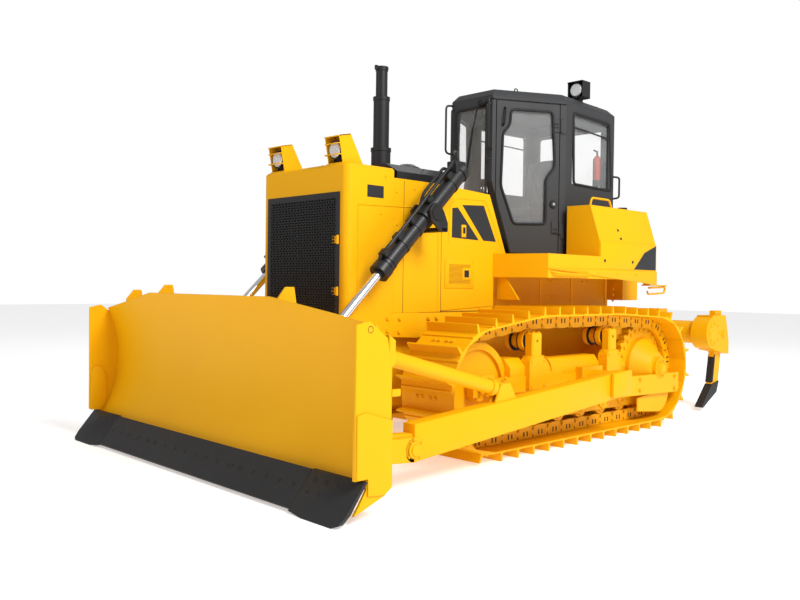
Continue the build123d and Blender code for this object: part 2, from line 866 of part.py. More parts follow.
def push_arm(side):
    """Box-section arm on its trunnion, with the front pin bracket."""
    y0 = arm_front_y
    y1 = arm_pivot[0] - 20
    outline = [(y0, arm_front_z[0]), (y1, arm_rear_z[0]), (y1, arm_rear_z[1]), (y0, arm_front_z[1])]
    arm = side_profile(outline, side * arm_inner, side * arm_outer)
    eye = shaft(arm_pivot, 128, side * arm_inner, side * arm_outer)
    arm += eye
    arm -= shaft(arm_pivot, arm_pin_radius + pin_clearance, side * (arm_inner - 10), side * (arm_outer + 10))
    near = moldboard_back + back_depth + seat
    bracket = side_profile([(near, 250), (y0, 230), (y0, 440), (near, 430)], side * (arm_inner + 20), side * (arm_outer - 20))
    lug_y = brace_rear[0]
    arm += bracket
    middle = side * (arm_inner + brace_offset)
    for sign in (-1, 1):
        x0 = middle + sign * (brace_eye_width / 2 + seat)
        lug = [(lug_y - 130, 500), (lug_y + 130, 500), (lug_y + 60, brace_rear[1] + 60), (lug_y - 60, brace_rear[1] + 60)]
        arm += side_profile(lug, x0, x0 + sign * 20)
    return arm


def brace(side):
    x = side * (arm_inner + brace_offset)
    u = unit(brace_rear, brace_front)
    length = math.dist(brace_rear, brace_front)
    near = (brace_rear[0] + u[0] * 130, brace_rear[1] + u[1] * 130)
    far = (brace_rear[0] + u[0] * (length - 110), brace_rear[1] + u[1] * (length - 110))
    half = brace_eye_width / 2
    tube = bar((x, *near), (x, *far), brace_radius)
    tube += bar_plate(brace_rear, near, 55, x - half, x + half)
    tube += bar_plate(far, brace_front, 60, x - half, x + half)
    return tube


def lift_brackets():
    """Clevis plates on the blade's back that take the lift rods' eyes."""
    found = []
    y0 = moldboard_back
    for side in (-1, 1):
        for sign in (-1, 1):
            x0 = side * lift_x + sign * (lift_eye_width / 2 + side_clearance)
            x1 = x0 + sign * 24
            outline = [(y0, 560), (lift_eye[0] + 70, lift_eye[1] - 60), (lift_eye[0] + 70, lift_eye[1] + 50), (lift_eye[0], lift_eye[1] + 75), (y0, 900 - seat)]
            found.append(side_profile(outline, x0, x1))
    return gather(found)


# Lift cylinders
def along_lift(distance):
    u = unit(lift_pivot, lift_eye)
    return (lift_pivot[0] + u[0] * distance, lift_pivot[1] + u[1] * distance)


def lift_barrel(side):
    x = side * lift_x
    back = along_lift(-lift_cap)
    gland = along_lift(lift_gland)
    tube = bar((x, *back), (x, *gland), lift_barrel_radius)
    tube += shaft(lift_pivot, 52, x - 118, x + 118)
    tube += bar((x, *along_lift(-60)), (x, *along_lift(60)), lift_barrel_radius + 12)
    inner = bar((x, *along_lift(-lift_cap + 90)), (x, *along_lift(lift_gland + 5)), lift_rod_radius + pin_clearance)
    return tube - inner


def lift_rod(side):
    x = side * lift_x
    start = along_lift(-lift_cap + 825)
    rod = bar((x, *start), (x, *along_lift(math.dist(lift_pivot, lift_eye) - 20)), lift_rod_radius)
    return rod + shaft(lift_eye, lift_eye_radius, x - lift_eye_width / 2, x + lift_eye_width / 2)


def cylinder_yokes():
    """Forked brackets on the hood's sides that hold the lift trunnions."""
    found = []
    for side in (-1, 1):
        for sign in (-1, 1):
            middle = side * lift_x + sign * 105
            plate = block(middle - 14, middle + 14, lift_pivot[0] - 90, lift_pivot[0] + 130, lift_pivot[1] - 150, lift_pivot[1] + 90)
            plate -= shaft(lift_pivot, 52 + pin_clearance, middle - 20, middle + 20)
            found.append(plate)
        web = block(side * (hood_half + seat), side * (lift_x + 119), lift_pivot[0] + 50, lift_pivot[0] + 130, lift_pivot[1] - 150, lift_pivot[1] - 115)
        found.append(web)
    joined = []
    for start in (0, 3):
        joined.append(found[start] + found[start + 1] + found[start + 2])
    return gather(joined)


# Ripper
def ripper_bracket():
    """Pivot plates on the hull's rear."""
    found = block(-480, 480, hull_rear + seat, hull_rear + 40, 480, 1040)
    lobes = [(hull_rear + 20, 490), (ripper_pivot[0] + 60, 490), (ripper_pivot[0] + 60, 1040), (hull_rear + 20, 1040)]
    base = (hull_rear + 60, ripper_cyl_pivot[1])
    for side in (-1, 1):
        for x0, x1 in ((280, 295), (355, 375), (455, 475)):
            found += side_profile(lobes, side * x0, side * x1)
        for x0, x1 in ((150, 165), (235, 250)):
            found += bar_plate(base, ripper_cyl_pivot, 50, side * x0, side * x1)
    for side in (-1, 1):
        found += shaft(ripper_pivot, 40, side * 350, side * 478)
        found += shaft(link_u, 32, side * 278, side * 377)
        found += shaft(ripper_cyl_pivot, ripper_cyl_pin, side * 152, side * 248)
    return found


def ripper_arms():
    """Lower frame: two bars and a cross tube with the cylinder ears."""
    half = ripper_arm_width / 2
    frame = None
    for side in (-1, 1):
        x0 = side * (ripper_arm_x - half)
        x1 = side * (ripper_arm_x + half)
        arm = bar_plate(ripper_pivot, arm_end, 62, x0, x1)
        arm -= shaft(ripper_pivot, 40 + pin_clearance, x0 - side * 5, x1 + side * 5)
        arm -= shaft(arm_end, 40 + pin_clearance, x0 - side * 5, x1 + side * 5)
        frame = arm if frame is None else frame + arm
    tube_at = (ripper_eye[0] + 150, ripper_eye[1] + 40)
    frame += shaft(tube_at, 50, -ripper_arm_x + half, ripper_arm_x - half)
    for side in (-1, 1):
        for sign in (-1, 1):
            x0 = side * ripper_cyl_x + sign * 36
            frame += bar_plate(ripper_eye, tube_at, 45, x0, x0 + sign * 18)
    return frame


def bar_plate(a, b, radius, x0, x1):
    """A flat bar with round ends between two (y, z) points."""
    u = unit(a, b)
    n = (-u[1], u[0])
    points = [
        (a[0] + n[0] * radius, a[1] + n[1] * radius),
        (b[0] + n[0] * radius, b[1] + n[1] * radius),
        (b[0] - n[0] * radius, b[1] - n[1] * radius),
        (a[0] - n[0] * radius, a[1] - n[1] * radius),
    ]
    return side_profile(points, x0, x1) + shaft(a, radius, x0, x1) + shaft(b, radius, x0, x1)


def ripper_links():
    half = ripper_link_width / 2
    found = []
    for side in (-1, 1):
        x0 = side * (ripper_link_x - half)
        x1 = side * (ripper_link_x + half)
        link = bar_plate(link_u, link_end, 50, x0, x1)
        link -= shaft(link_u, 32 + pin_clearance, x0 - side * 5, x1 + side * 5)
        link -= shaft(link_end, 32 + pin_clearance, x0 - side * 5, x1 + side * 5)
        found.append(link)
    return gather(found)


def ripper_beam():
    """Cross tube with three shank pockets and the link ears."""
    beam = shaft(beam_centre, beam_radius, -beam_half + 10, beam_half - 10)
    pocket = [
        (beam_centre[0] + 20, beam_centre[1] - 205),
        (pocket_rear, beam_centre[1] - 265),
        (pocket_rear, beam_centre[1] - 110),
        (pocket_rear - 90, beam_centre[1] + 205),
        (beam_centre[0] - 40, beam_centre[1] + 205),
    ]
    for x in shank_x:
        x0 = x - pocket_width / 2
        x1 = x + pocket_width / 2
        beam += side_profile(pocket, x0, x1) + shaft(beam_centre, beam_end_radius, x0, x1)
    for side in (-1, 1):
        for x0, x1 in ((280, 295), (355, 375), (455, 475)):
            ear = [(beam_centre[0] + 40, 700), (arm_end[0] - 60, 700), (arm_end[0] - 60, link_end[1] + 50), (beam_centre[0] + 40, link_end[1] + 50)]
            beam += side_profile(ear, side * x0, side * x1)
        beam += shaft(arm_end, 40, side * 350, side * 478)
        beam += shaft(link_end, 32, side * 278, side * 377)
    for x in shank_x:
        beam -= shank_solid(x, 1.0)
    return beam


def shank_solid(x, grow):
    top = beam_centre[1] + 260
    y0 = beam_centre[0] + 150
    outline = [
        (y0 - grow, top),
        (y0 + shank_depth + grow, top),
        (y0 + shank_depth + grow, 700),
        (y0 + shank_depth - 60 + grow, 330),
        (y0 - 60 - grow, 300),
        (y0 - 10 - grow, 560),
    ]
    return side_profile(outline, x - shank_width / 2 - grow, x + shank_width / 2 + grow)


def ripper_shanks():
    return gather([shank_solid(x, 0) for x in shank_x])


def ripper_teeth():
    found = []
    y0 = beam_centre[0] + 150
    for x in shank_x:
        outline = [(y0 - 60, 300 - seat), (y0 + shank_depth - 60, 330 - seat), (y0 + 60, 200), (tooth_tip[0] + 40, tooth_tip[1]), (tooth_tip[0], tooth_tip[1] + 10)]
        found.append(side_profile(outline, x - 45, x + 45))
    return gather(found)


def along_ripper(distance):
    u = unit(ripper_cyl_pivot, ripper_eye)
    return (ripper_cyl_pivot[0] + u[0] * distance, ripper_cyl_pivot[1] + u[1] * distance)


def ripper_barrels():
    found = []
    for side in (-1, 1):
        x = side * ripper_cyl_x
        tube = bar((x, *along_ripper(ripper_cap)), (x, *along_ripper(ripper_gland)), ripper_barrel_radius)
        tube += bar_plate(ripper_cyl_pivot, along_ripper(ripper_cap + 5), 46, x - 30, x + 30)
        tube -= shaft(ripper_cyl_pivot, ripper_cyl_pin + pin_clearance, x - 40, x + 40)
        bore_start = along_ripper(ripper_cap + 12)
        tube -= bar((x, *bore_start), (x, *along_ripper(ripper_gland + 5)), ripper_rod_radius + pin_clearance)
        found.append(tube)
    return gather(found)


def ripper_rods():
    found = []
    reach = math.dist(ripper_cyl_pivot, ripper_eye)
    for side in (-1, 1):
        x = side * ripper_cyl_x
        rod = bar((x, *along_ripper(ripper_rod_start)), (x, *along_ripper(reach - 10)), ripper_rod_radius)
        found.append(rod + shaft(ripper_eye, 45, x - 28, x + 28))
    return gather(found)


def main():
    os.makedirs("parts", exist_ok=True)
    for name, side in (("left", 1), ("right", -1)):
        save("track_" + name, track(side))
        save("sprocket_" + name, sprocket(side))
        save("final_drive_" + name, final_drive(side))
        save("idler_" + name, idler(side))
        save("track_frame_" + name, track_frame(side))
        save("push_arm_" + name, push_arm(side))
        save("lift_barrel_" + name, lift_barrel(side))
        save("lift_rod_" + name, lift_rod(side))
        door = door_panel()
        pane = door_pane()
        if side < 0:
            door = mirror(door, about=Plane.YZ)
            pane = mirror(pane, about=Plane.YZ)
        save("cab_door_" + name, door)
        save("door_glass_" + name, pane)
    save("track_rollers", track_rollers())
    save("carrier_rollers", carrier_rollers())
    save("main_frame", main_frame())
    save("engine_block", engine_block())
    save("radiator_core", radiator_core())
    save("radiator_guard", radiator_guard())
    save("grille_door", grille_door())
    save("grille_hinges", grille_hinges())
    save("engine_hood", engine_hood())
    save("hood_cover", hood_cover())
    save("exhaust_stack", exhaust_stack())
    save("hood_lamps", hood_lamps())
    save("console", console())
    save("platform", platform())
    save("side_tanks", side_tanks())
    save("fuel_tank", fuel_tank())
    save("cab_frame", cab_frame())
    save("cab_glass", cab_glass())
    save("cab_floor", cab_floor())
    save("cab_roof", cab_roof())
    save("operator_seat", operator_seat())
    save("cab_controls", cab_controls())
    save("cab_lamps", cab_lamps())
    save("moldboard", moldboard_plate())
    save("blade_back", blade_back())
    save("end_plates", end_plates())
    save("cutting_edge", cutting_edge())
    save("blade_braces", gather(brace(1), brace(-1)))
    save("lift_brackets", lift_brackets())
    save("cylinder_yokes", cylinder_yokes())
    save("ripper_bracket", ripper_bracket())
    save("ripper_arms", ripper_arms())
    save("ripper_links", ripper_links())
    save("ripper_beam", ripper_beam())
    save("ripper_shanks", ripper_shanks())
    save("ripper_teeth", ripper_teeth())
    save("ripper_barrels", ripper_barrels())
    save("ripper_rods", ripper_rods())


main()
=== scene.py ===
import json
import math

import bpy
from mathutils import Matrix, Vector


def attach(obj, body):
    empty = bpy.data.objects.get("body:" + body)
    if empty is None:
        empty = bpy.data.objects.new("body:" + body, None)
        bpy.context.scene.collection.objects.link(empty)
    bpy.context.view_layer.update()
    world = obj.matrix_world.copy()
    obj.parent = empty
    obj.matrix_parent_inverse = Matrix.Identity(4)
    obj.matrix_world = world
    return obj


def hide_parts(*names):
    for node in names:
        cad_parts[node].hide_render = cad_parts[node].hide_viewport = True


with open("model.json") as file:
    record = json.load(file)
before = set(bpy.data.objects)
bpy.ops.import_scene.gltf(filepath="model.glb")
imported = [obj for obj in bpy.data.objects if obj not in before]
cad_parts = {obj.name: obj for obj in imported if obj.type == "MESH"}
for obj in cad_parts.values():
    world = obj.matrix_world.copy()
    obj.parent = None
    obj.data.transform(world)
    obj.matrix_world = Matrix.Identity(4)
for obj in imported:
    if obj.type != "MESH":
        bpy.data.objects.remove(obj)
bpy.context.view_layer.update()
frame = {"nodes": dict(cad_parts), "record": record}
print("frame loaded")


# small helpers for picking and placing

def clearSelection():
    bpy.ops.object.select_all(action="DESELECT")
    bpy.context.view_layer.objects.active = None


def makeActive(piece):
    clearSelection()
    piece.select_set(True)
    bpy.context.view_layer.objects.active = piece


def linked(name, data):
    piece = bpy.data.objects.new(name, data)
    bpy.context.collection.objects.link(piece)
    return piece


def rawMesh(name, points, faces):
    mesh = bpy.data.meshes.new(name)
    mesh.from_pydata(points, [], faces)
    return linked(name, mesh)


def facedOut(piece, merge=0.0):
    # all faces look outwards; points nearer than merge become one first
    makeActive(piece)
    bpy.ops.object.mode_set(mode="EDIT")
    bpy.ops.mesh.select_all(action="SELECT")
    if merge:
        bpy.ops.mesh.remove_doubles(threshold=merge)
    bpy.ops.mesh.normals_make_consistent(inside=False)
    bpy.ops.object.mode_set(mode="OBJECT")
    return piece


def settle(piece):
    # place, turn and size go into the mesh, so that the object sits at the origin
    makeActive(piece)
    bpy.ops.object.transform_apply(location=True, rotation=True, scale=True)
    return piece


def smoothed(piece, degrees=35):
    makeActive(piece)
    bpy.ops.object.shade_smooth_by_angle(angle=math.radians(degrees))
    return piece


def addBox(name, low, high, bevel=0.0, segments=2):
    clearSelection()
    bpy.ops.mesh.primitive_cube_add(size=1, location=[(a + b) / 2 for a, b in zip(low, high)])
    piece = bpy.context.active_object
    piece.name = name
    piece.scale = [abs(b - a) for a, b in zip(low, high)]
    settle(piece)
    return bevelPiece(piece, bevel, segments) if bevel else piece


def bevelPiece(piece, width, segments=2, degrees=40):
    makeActive(piece)
    modifier = piece.modifiers.new("edge", "BEVEL")
    modifier.width = width
    modifier.segments = segments
    modifier.limit_method = "ANGLE"
    modifier.angle_limit = math.radians(degrees)
    bpy.ops.object.modifier_apply(modifier="edge")
    return smoothed(piece)


def addRound(name, start, end, radius, sides=24, tip=None):
    a = Vector(start)
    b = Vector(end)
    along = b - a
    clearSelection()
    bpy.ops.mesh.primitive_cone_add(
        vertices=sides, radius1=radius, radius2=radius if tip is None else tip, depth=along.length,
        location=(a + b) / 2, rotation=along.to_track_quat("Z", "Y").to_euler())
    piece = bpy.context.active_object
    piece.name = name
    settle(piece)
    return smoothed(piece)


def addRing(name, start, end, inner, outer, sides=28):
    # a hollow band round the line from start to end
    origin = Vector(start)
    along = Vector(end) - origin
    turn = along.to_track_quat("Z", "Y").to_matrix()
    points = []
    for radius, height in ((inner, 0.0), (outer, 0.0), (outer, along.length), (inner, along.length)):
        ring = ringPlaces(0, 0, 0, radius, evenAngles(sides))
        points += [origin + turn @ Vector((y, z, height)) for _, y, z in ring]
    faces = []
    for first, second in ((0, 1), (1, 2), (2, 3), (3, 0)):
        for step in range(sides):
            after = (step + 1) % sides
            near, far = first * sides, second * sides
            faces.append([near + step, near + after, far + after, far + step])
    return smoothed(facedOut(rawMesh(name, points, faces)))


def curvePiece(name, paths, closed, **settings):
    # a mesh made from straight-line curves
    curve = bpy.data.curves.new(name, "CURVE")
    for key, value in settings.items():
        setattr(curve, key, value)
    for path in paths:
        spline = curve.splines.new("POLY")
        spline.points.add(len(path) - 1)
        for point, place in zip(spline.points, path):
            point.co = (*place, 1)
        spline.use_cyclic_u = closed
    makeActive(linked(name, curve))
    bpy.ops.object.convert(target="MESH")
    return bpy.context.active_object


def addTube(name, points, radius, sides=10, round=0.0):
    # a bent bar through the given points, with its corners rounded by a small arc
    path = roundedPath(points, round) if round else [Vector(p) for p in points]
    bar = curvePiece(name, [path], False, dimensions="3D", bevel_depth=radius,
                     bevel_resolution=max(1, sides // 4), use_fill_caps=True)
    return smoothed(bar, 50)


def roundedPath(points, radius, steps=5):
    places = [Vector(p) for p in points]
    path = [places[0]]
    for before, corner, after in zip(places, places[1:], places[2:]):
        back = before - corner
        ahead = after - corner
        reach = min(radius, back.length / 2, ahead.length / 2)
        start = corner + back.normalized() * reach
        end = corner + ahead.normalized() * reach
        for step in range(steps + 1):
            t = step / steps
            path.append(start.lerp(corner, t).lerp(corner.lerp(end, t), t))
    path.append(places[-1])
    return path


def addPlate(name, outline, axis, low, high, bevel=0.0, segments=2):
    # a flat outline carried along an axis: the outline's two numbers run along the other two axes in order
    points = [(*point[:axis], low, *point[axis:]) for point in outline]
    piece = rawMesh(name, points, [list(range(len(points)))])
    makeActive(piece)
    bpy.ops.object.mode_set(mode="EDIT")
    bpy.ops.mesh.select_all(action="SELECT")
    offset = [0.0, 0.0, 0.0]
    offset[axis] = high - low
    bpy.ops.mesh.extrude_region_move(TRANSFORM_OT_translate={"value": offset})
    bpy.ops.object.mode_set(mode="OBJECT")
    facedOut(piece)
    return bevelPiece(piece, bevel, segments) if bevel else piece


def addPrism(name, first, second, bevel=0.0):
    # two outlines with the same number of corners, joined by walls
    count = len(first)
    faces = [list(range(count)), list(range(count, 2 * count))]
    faces += [[i, (i + 1) % count, count + (i + 1) % count, count + i] for i in range(count)]
    piece = facedOut(rawMesh(name, [*first, *second], faces))
    return bevelPiece(piece, bevel, 1) if bevel else piece


def joinPieces(name, pieces):
    clearSelection()
    for piece in pieces:
        piece.select_set(True)
    bpy.context.view_layer.objects.active = pieces[0]
    if len(pieces) > 1:
        bpy.ops.object.join()
    joined = bpy.context.active_object
    joined.name = name
    joined.data.name = name
    return joined


def mirrored(piece):
    twin = piece.copy()
    twin.data = piece.data.copy()
    bpy.context.collection.objects.link(twin)
    twin.data.transform(Matrix.Scale(-1, 4, (1, 0, 0)))
    return facedOut(twin)


def finishPiece(piece, body="root", slot="yellow_paint", material=None):
    piece.data.materials.clear()
    piece.data.materials.append(material or usualPaint[slot])
    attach(piece, body)
    return piece


def mirrorPair(piece, body="root", slot="yellow_paint", material=None):
    for side in (piece, mirrored(piece)):
        finishPiece(side, body, slot, material)


def onSide(sign, *points):
    # points given for the left side, taken to the side of the sign
    return [(sign * x, y, z) for x, y, z in points]


def evenAngles(count):
    return [2 * math.pi * step / count for step in range(count)]


def ringPlaces(x, y, z, radius, angles):
    return [(x, y + radius * math.cos(angle), z + radius * math.sin(angle)) for angle in angles]


# shader building: sockets add up as Python expressions

class Signal:
    def __init__(self, tree, socket):
        self.tree = tree
        self.socket = socket

    def join(self, operation, first, second):
        node = self.tree.nodes.new("ShaderNodeMath")
        node.operation = operation
        for index, value in enumerate((first, second)):
            if isinstance(value, Signal):
                self.tree.links.new(value.socket, node.inputs[index])
            else:
                node.inputs[index].default_value = value
        return Signal(self.tree, node.outputs[0])

    def __add__(self, other):
        return self.join("ADD", self, other)

    def __radd__(self, other):
        return self.join("ADD", other, self)

    def __sub__(self, other):
        return self.join("SUBTRACT", self, other)

    def __rsub__(self, other):
        return self.join("SUBTRACT", other, self)

    def __mul__(self, other):
        return self.join("MULTIPLY", self, other)

    def __rmul__(self, other):
        return self.join("MULTIPLY", other, self)

    def __gt__(self, other):
        return self.join("GREATER_THAN", self, other)


class Finish:
    def __init__(self, name):
        self.material = bpy.data.materials.new(name)
        self.material.use_nodes = True
        self.tree = self.material.node_tree
        self.tree.nodes.clear()
        self.output = self.tree.nodes.new("ShaderNodeOutputMaterial")
        self.place = self.add("ShaderNodeTexCoord", {}, {}, "Object")

    def add(self, kind, settings, values, output=0):
        node = self.tree.nodes.new(kind)
        for key, value in settings.items():
            if key == "stops":
                ramp = node.color_ramp
                while len(ramp.elements) < len(value):
                    ramp.elements.new(0.5)
                for element, (position, color) in zip(ramp.elements, value):
                    element.position = position
                    element.color = color
            else:
                setattr(node, key, value)
        for key, value in values.items():
            socket = node.inputs[key]
            if isinstance(value, Signal):
                self.tree.links.new(value.socket, socket)
            else:
                socket.default_value = value
        return Signal(self.tree, node.outputs[output])

    def noise(self, scale, detail=3.0, rough=0.55):
        values = {"Vector": self.place, "Scale": scale, "Detail": detail, "Roughness": rough}
        return self.add("ShaderNodeTexNoise", {}, values)

    def texture(self, kind, scale, settings, **values):
        return self.add("ShaderNodeTex" + kind, settings, {"Vector": self.place, "Scale": scale, **values})

    def blendColors(self, share, first, second):
        return self.add("ShaderNodeMix", {"data_type": "RGBA"}, {0: share, 6: first, 7: second}, 2)

    def surface(self, values, softEdge=0.0, bump=None, bumpDepth=0.001):
        normal = None
        if softEdge:
            normal = self.add("ShaderNodeBevel", {"samples": 4}, {"Radius": softEdge})
        if bump is not None:
            sockets = {"Height": bump, "Strength": 1.0, "Distance": bumpDepth}
            if normal is not None:
                sockets["Normal"] = normal
            normal = self.add("ShaderNodeBump", {}, sockets)
        if normal is not None:
            values = dict(values, Normal=normal)
        shader = self.add("ShaderNodeBsdfPrincipled", {}, values)
        self.tree.links.new(shader.socket, self.output.inputs["Surface"])
        return self.material


def gray(value):
    return (value, value, value, 1.0)


def paintMaterial(name, base, shade, roughness, peel=0.00025, edge=0.004, coat=0.0, shine=0.5):
    finish = Finish(name)
    cloud = finish.noise(1.7, 4.0)
    fine = finish.noise(160.0, 2.0)
    dust = finish.noise(9.0, 5.0, 0.65)
    values = {
        "Base Color": finish.blendColors((cloud - 0.35) * 1.3, base, shade),
        "Roughness": roughness + dust * 0.14,
        "Coat Weight": coat,
        "Specular IOR Level": shine,
    }
    return finish.surface(values, edge, fine, peel)


def blackPaint():
    return paintMaterial(
        "blackPaint", (0.010, 0.010, 0.011, 1), (0.016, 0.016, 0.017, 1), 0.38, 0.0003, 0.003, 0.1, 0.35)


def smoothSheet(name, tint, roughness, spread, grain, edge, depth):
    # plastic, rubber and foil: one colour with a fine grain
    finish = Finish(name)
    fine = finish.noise(grain, 2.0)
    return finish.surface({"Base Color": tint, "Roughness": roughness + fine * spread}, edge, fine, depth)


def chromeMaterial():
    finish = Finish("chromeRod")
    streak = finish.noise(60.0, 3.0)
    return finish.surface(
        {"Base Color": (0.82, 0.83, 0.85, 1), "Metallic": 1.0, "Roughness": 0.20 + streak * 0.03})


def steelMaterial():
    finish = Finish("bareSteel")
    streak = finish.noise(45.0, 4.0)
    color = finish.blendColors(streak, (0.34, 0.33, 0.31, 1), (0.52, 0.50, 0.47, 1))
    return finish.surface({"Base Color": color, "Metallic": 0.9, "Roughness": 0.32 + streak * 0.2}, 0.002)


def fabricMaterial():
    finish = Finish("seatFabric")
    weave = finish.texture("Wave", 260.0, {"wave_type": "BANDS"}, Distortion=1.5)
    cloud = finish.noise(30.0, 4.0)
    color = finish.blendColors(cloud, (0.020, 0.021, 0.024, 1), (0.040, 0.041, 0.046, 1))
    return finish.surface({"Base Color": color, "Roughness": 0.85, "Sheen Weight": 0.3}, 0.0, weave, 0.0006)


def glassMaterial():
    finish = Finish("cabGlass")
    haze = finish.noise(3.0, 2.0)
    values = {
        "Base Color": (0.93, 0.96, 0.97, 1), "Roughness": 0.02 + haze * 0.02, "Alpha": 0.08 + haze * 0.04,
        "Specular IOR Level": 0.6}
    return finish.surface(values)


def lensMaterial():
    finish = Finish("lampLens")
    ribs = finish.texture("Wave", 40.0, {"wave_type": "BANDS"})
    values = {
        "Base Color": (0.86, 0.88, 0.90, 1), "Metallic": 0.55, "Roughness": 0.10 + ribs * 0.12,
        "Coat Weight": 0.8}
    return finish.surface(values, 0.0, ribs, 0.002)


def redMaterial():
    finish = Finish("extinguisherRed")
    cloud = finish.noise(8.0, 3.0)
    color = finish.blendColors(cloud, (0.50, 0.035, 0.010, 1), (0.60, 0.06, 0.015, 1))
    return finish.surface({"Base Color": color, "Roughness": 0.3 + cloud * 0.1, "Coat Weight": 0.4})


def ironMaterial():
    finish = Finish("engineIron")
    cloud = finish.noise(12.0, 5.0)
    color = finish.blendColors(cloud, (0.16, 0.16, 0.16, 1), (0.24, 0.23, 0.22, 1))
    values = {"Base Color": color, "Roughness": 0.6 + cloud * 0.2, "Metallic": 0.3}
    return finish.surface(values, 0.003, cloud, 0.001)


def coreMaterial():
    finish = Finish("coreFins")
    fins = finish.texture("Wave", 90.0, {"wave_type": "BANDS", "bands_direction": "Z"})
    color = finish.blendColors(fins, gray(0.012), gray(0.05))
    return finish.surface(
        {"Base Color": color, "Roughness": 0.55 + fins * 0.2, "Metallic": 0.4}, 0.0, fins, 0.003)


def perforatedPaint():
    # yellow sheet with rows of small holes; the holes are painted dark orange, painted shade of the space
    # behind the sheet
    finish = Finish("perforatedPaint")
    holes = finish.texture("Voronoi", 95.0, {"feature": "F1"}, Randomness=0.0)
    color = finish.blendColors(holes > 0.36, (0.12, 0.055, 0.001, 1), (0.82, 0.40, 0.001, 1))
    return finish.surface({"Base Color": color, "Roughness": 0.5, "Specular IOR Level": 0.16})


paints = {
    "yellow_paint": paintMaterial(
        "yellowPaint", (0.87, 0.435, 0.0012, 1), (0.83, 0.405, 0.001, 1), 0.40, shine=0.16),
    "black_paint": blackPaint(),
    "cab_paint": paintMaterial(
        "cabPaint", (0.036, 0.037, 0.039, 1), (0.046, 0.047, 0.049, 1), 0.48, 0.0006, 0.003, 0.0, 0.3),
    "edge_steel": paintMaterial(
        "edgePaint", (0.014, 0.015, 0.017, 1), (0.024, 0.025, 0.027, 1), 0.46, 0.0007, 0.003, 0.0, 0.35),
    "grille_black": blackPaint(),
    "chrome_rod": chromeMaterial(),
    "glass": glassMaterial(),
    "seat_fabric": fabricMaterial(),
    "dark_plastic": smoothSheet("darkPlastic", (0.022, 0.022, 0.024, 1), 0.48, 0.2, 300.0, 0.002, 0.0005),
    "engine_iron": ironMaterial(),
    "core_metal": coreMaterial(),
}
rubber = smoothSheet("blackRubber", (0.006, 0.006, 0.007, 1), 0.58, 0.2, 220.0, 0.0, 0.0004)
bareSteel = steelMaterial()
lens = lensMaterial()
extinguisherRed = redMaterial()
stripeBlack = smoothSheet("stripeBlack", (0.016, 0.017, 0.020, 1), 0.32, 0.12, 90.0, 0.0, 0.0002)
meshPaint = perforatedPaint()
usualPaint = {**paints, "dark_plastic": rubber, "grille_black": paints["black_paint"]}
print("materials made")


def dressNodes():
    slots = {part["node"]: part["material_slot"] for part in frame["record"]["subparts"]}
    for name, node in frame["nodes"].items():
        material = paints[slots[name]]
        if not node.data.materials:
            node.data.materials.append(material)
        for index in range(len(node.data.materials)):
            node.data.materials[index] = material


dressNodes()


# repeated small parts

def repeated(name, sample, places):
    # one mesh made of the sample's faces at every given matrix
    points = [v.co.copy() for v in sample.data.vertices]
    faces = [list(f.vertices) for f in sample.data.polygons]
    allPoints = []
    allFaces = []
    for matrix in places:
        start = len(allPoints)
        allPoints.extend(matrix @ point for point in points)
        allFaces.extend([start + index for index in face] for face in faces)
    bpy.data.objects.remove(sample)
    return smoothed(rawMesh(name, allPoints, allFaces))


def facing(place, normal, turn=0.0):
    # a matrix whose Z runs along the normal
    up = Vector(normal).normalized()
    spin = up.to_track_quat("Z", "Y").to_matrix().to_4x4()
    return Matrix.Translation(Vector(place)) @ spin @ Matrix.Rotation(turn, 4, "Z")


def hexBolt(radius, height):
    washer = addRound("boltWasher", (0, 0, -0.001), (0, 0, height * 0.25), radius * 1.25, 12)
    head = addRound("boltHead", (0, 0, height * 0.2), (0, 0, height), radius, 6, radius * 0.94)
    return joinPieces("bolt", [washer, head])


def roundHead(radius, height):
    rim = addRound("boltRim", (0, 0, -0.001), (0, 0, height * 0.5), radius, 12)
    crown = addRound("boltCrown", (0, 0, height * 0.5), (0, 0, height), radius, 12, radius * 0.6)
    return joinPieces("bolt", [rim, crown])


def boltsAt(name, places, normal, radius, height, body="root", slot="yellow_paint", material=None,
            kind=hexBolt):
    matrices = [facing(place, normal, 0.4 * index) for index, place in enumerate(places)]
    return finishPiece(repeated(name, kind(radius, height), matrices), body, slot, material)


# hood: side panels, plates, bolts, lamps

hood = {
    "side": 0.570,
    "seams": (-1.623, -1.160),
    "boltGroup": ((-1.795, 1.157), (-1.656, 1.154), (-1.793, 1.053), (-1.659, 1.043), (-1.306, 1.152),
                  (-1.204, 1.152)),
    "loneBolts": ((-1.836, 2.323), (-1.708, 2.210), (-1.884, 2.016), (-1.700, 1.940), (-1.500, 2.250),
                  (-1.250, 2.262)),
    "plate": ((-2.035, 2.142), (-1.856, 2.241)),
    "emboss": ((-2.130, 1.230), (-2.130, 2.075), (-1.200, 2.105), (-1.200, 1.210)),
    "embossRadius": 0.006,
    "guardSkirt": ((-2.245, 1.03), (-1.434, 0.985), (-1.434, 1.205), (-2.245, 1.205)),
    "hullSkirt": ((-1.432, 0.99), (-0.45, 0.98), (-0.45, 1.250), (-1.432, 1.212)),
    "topBolts": ((-0.5, -2.20), (-0.2, -2.20), (0.2, -2.20), (0.5, -2.20), (-0.5, -1.79), (0.0, -1.79),
                 (0.5, -1.79)),
}


def hoodSidePanel():
    # a raised frame line that the pressed panel leaves on the sheet
    points = [(hood["side"], y, z) for y, z in hood["emboss"]]
    lines = [addTube("pressedEdge", pair, hood["embossRadius"], 8) for pair in zip(points, points[1:])]
    mirrorPair(joinPieces("pressedEdge", lines))


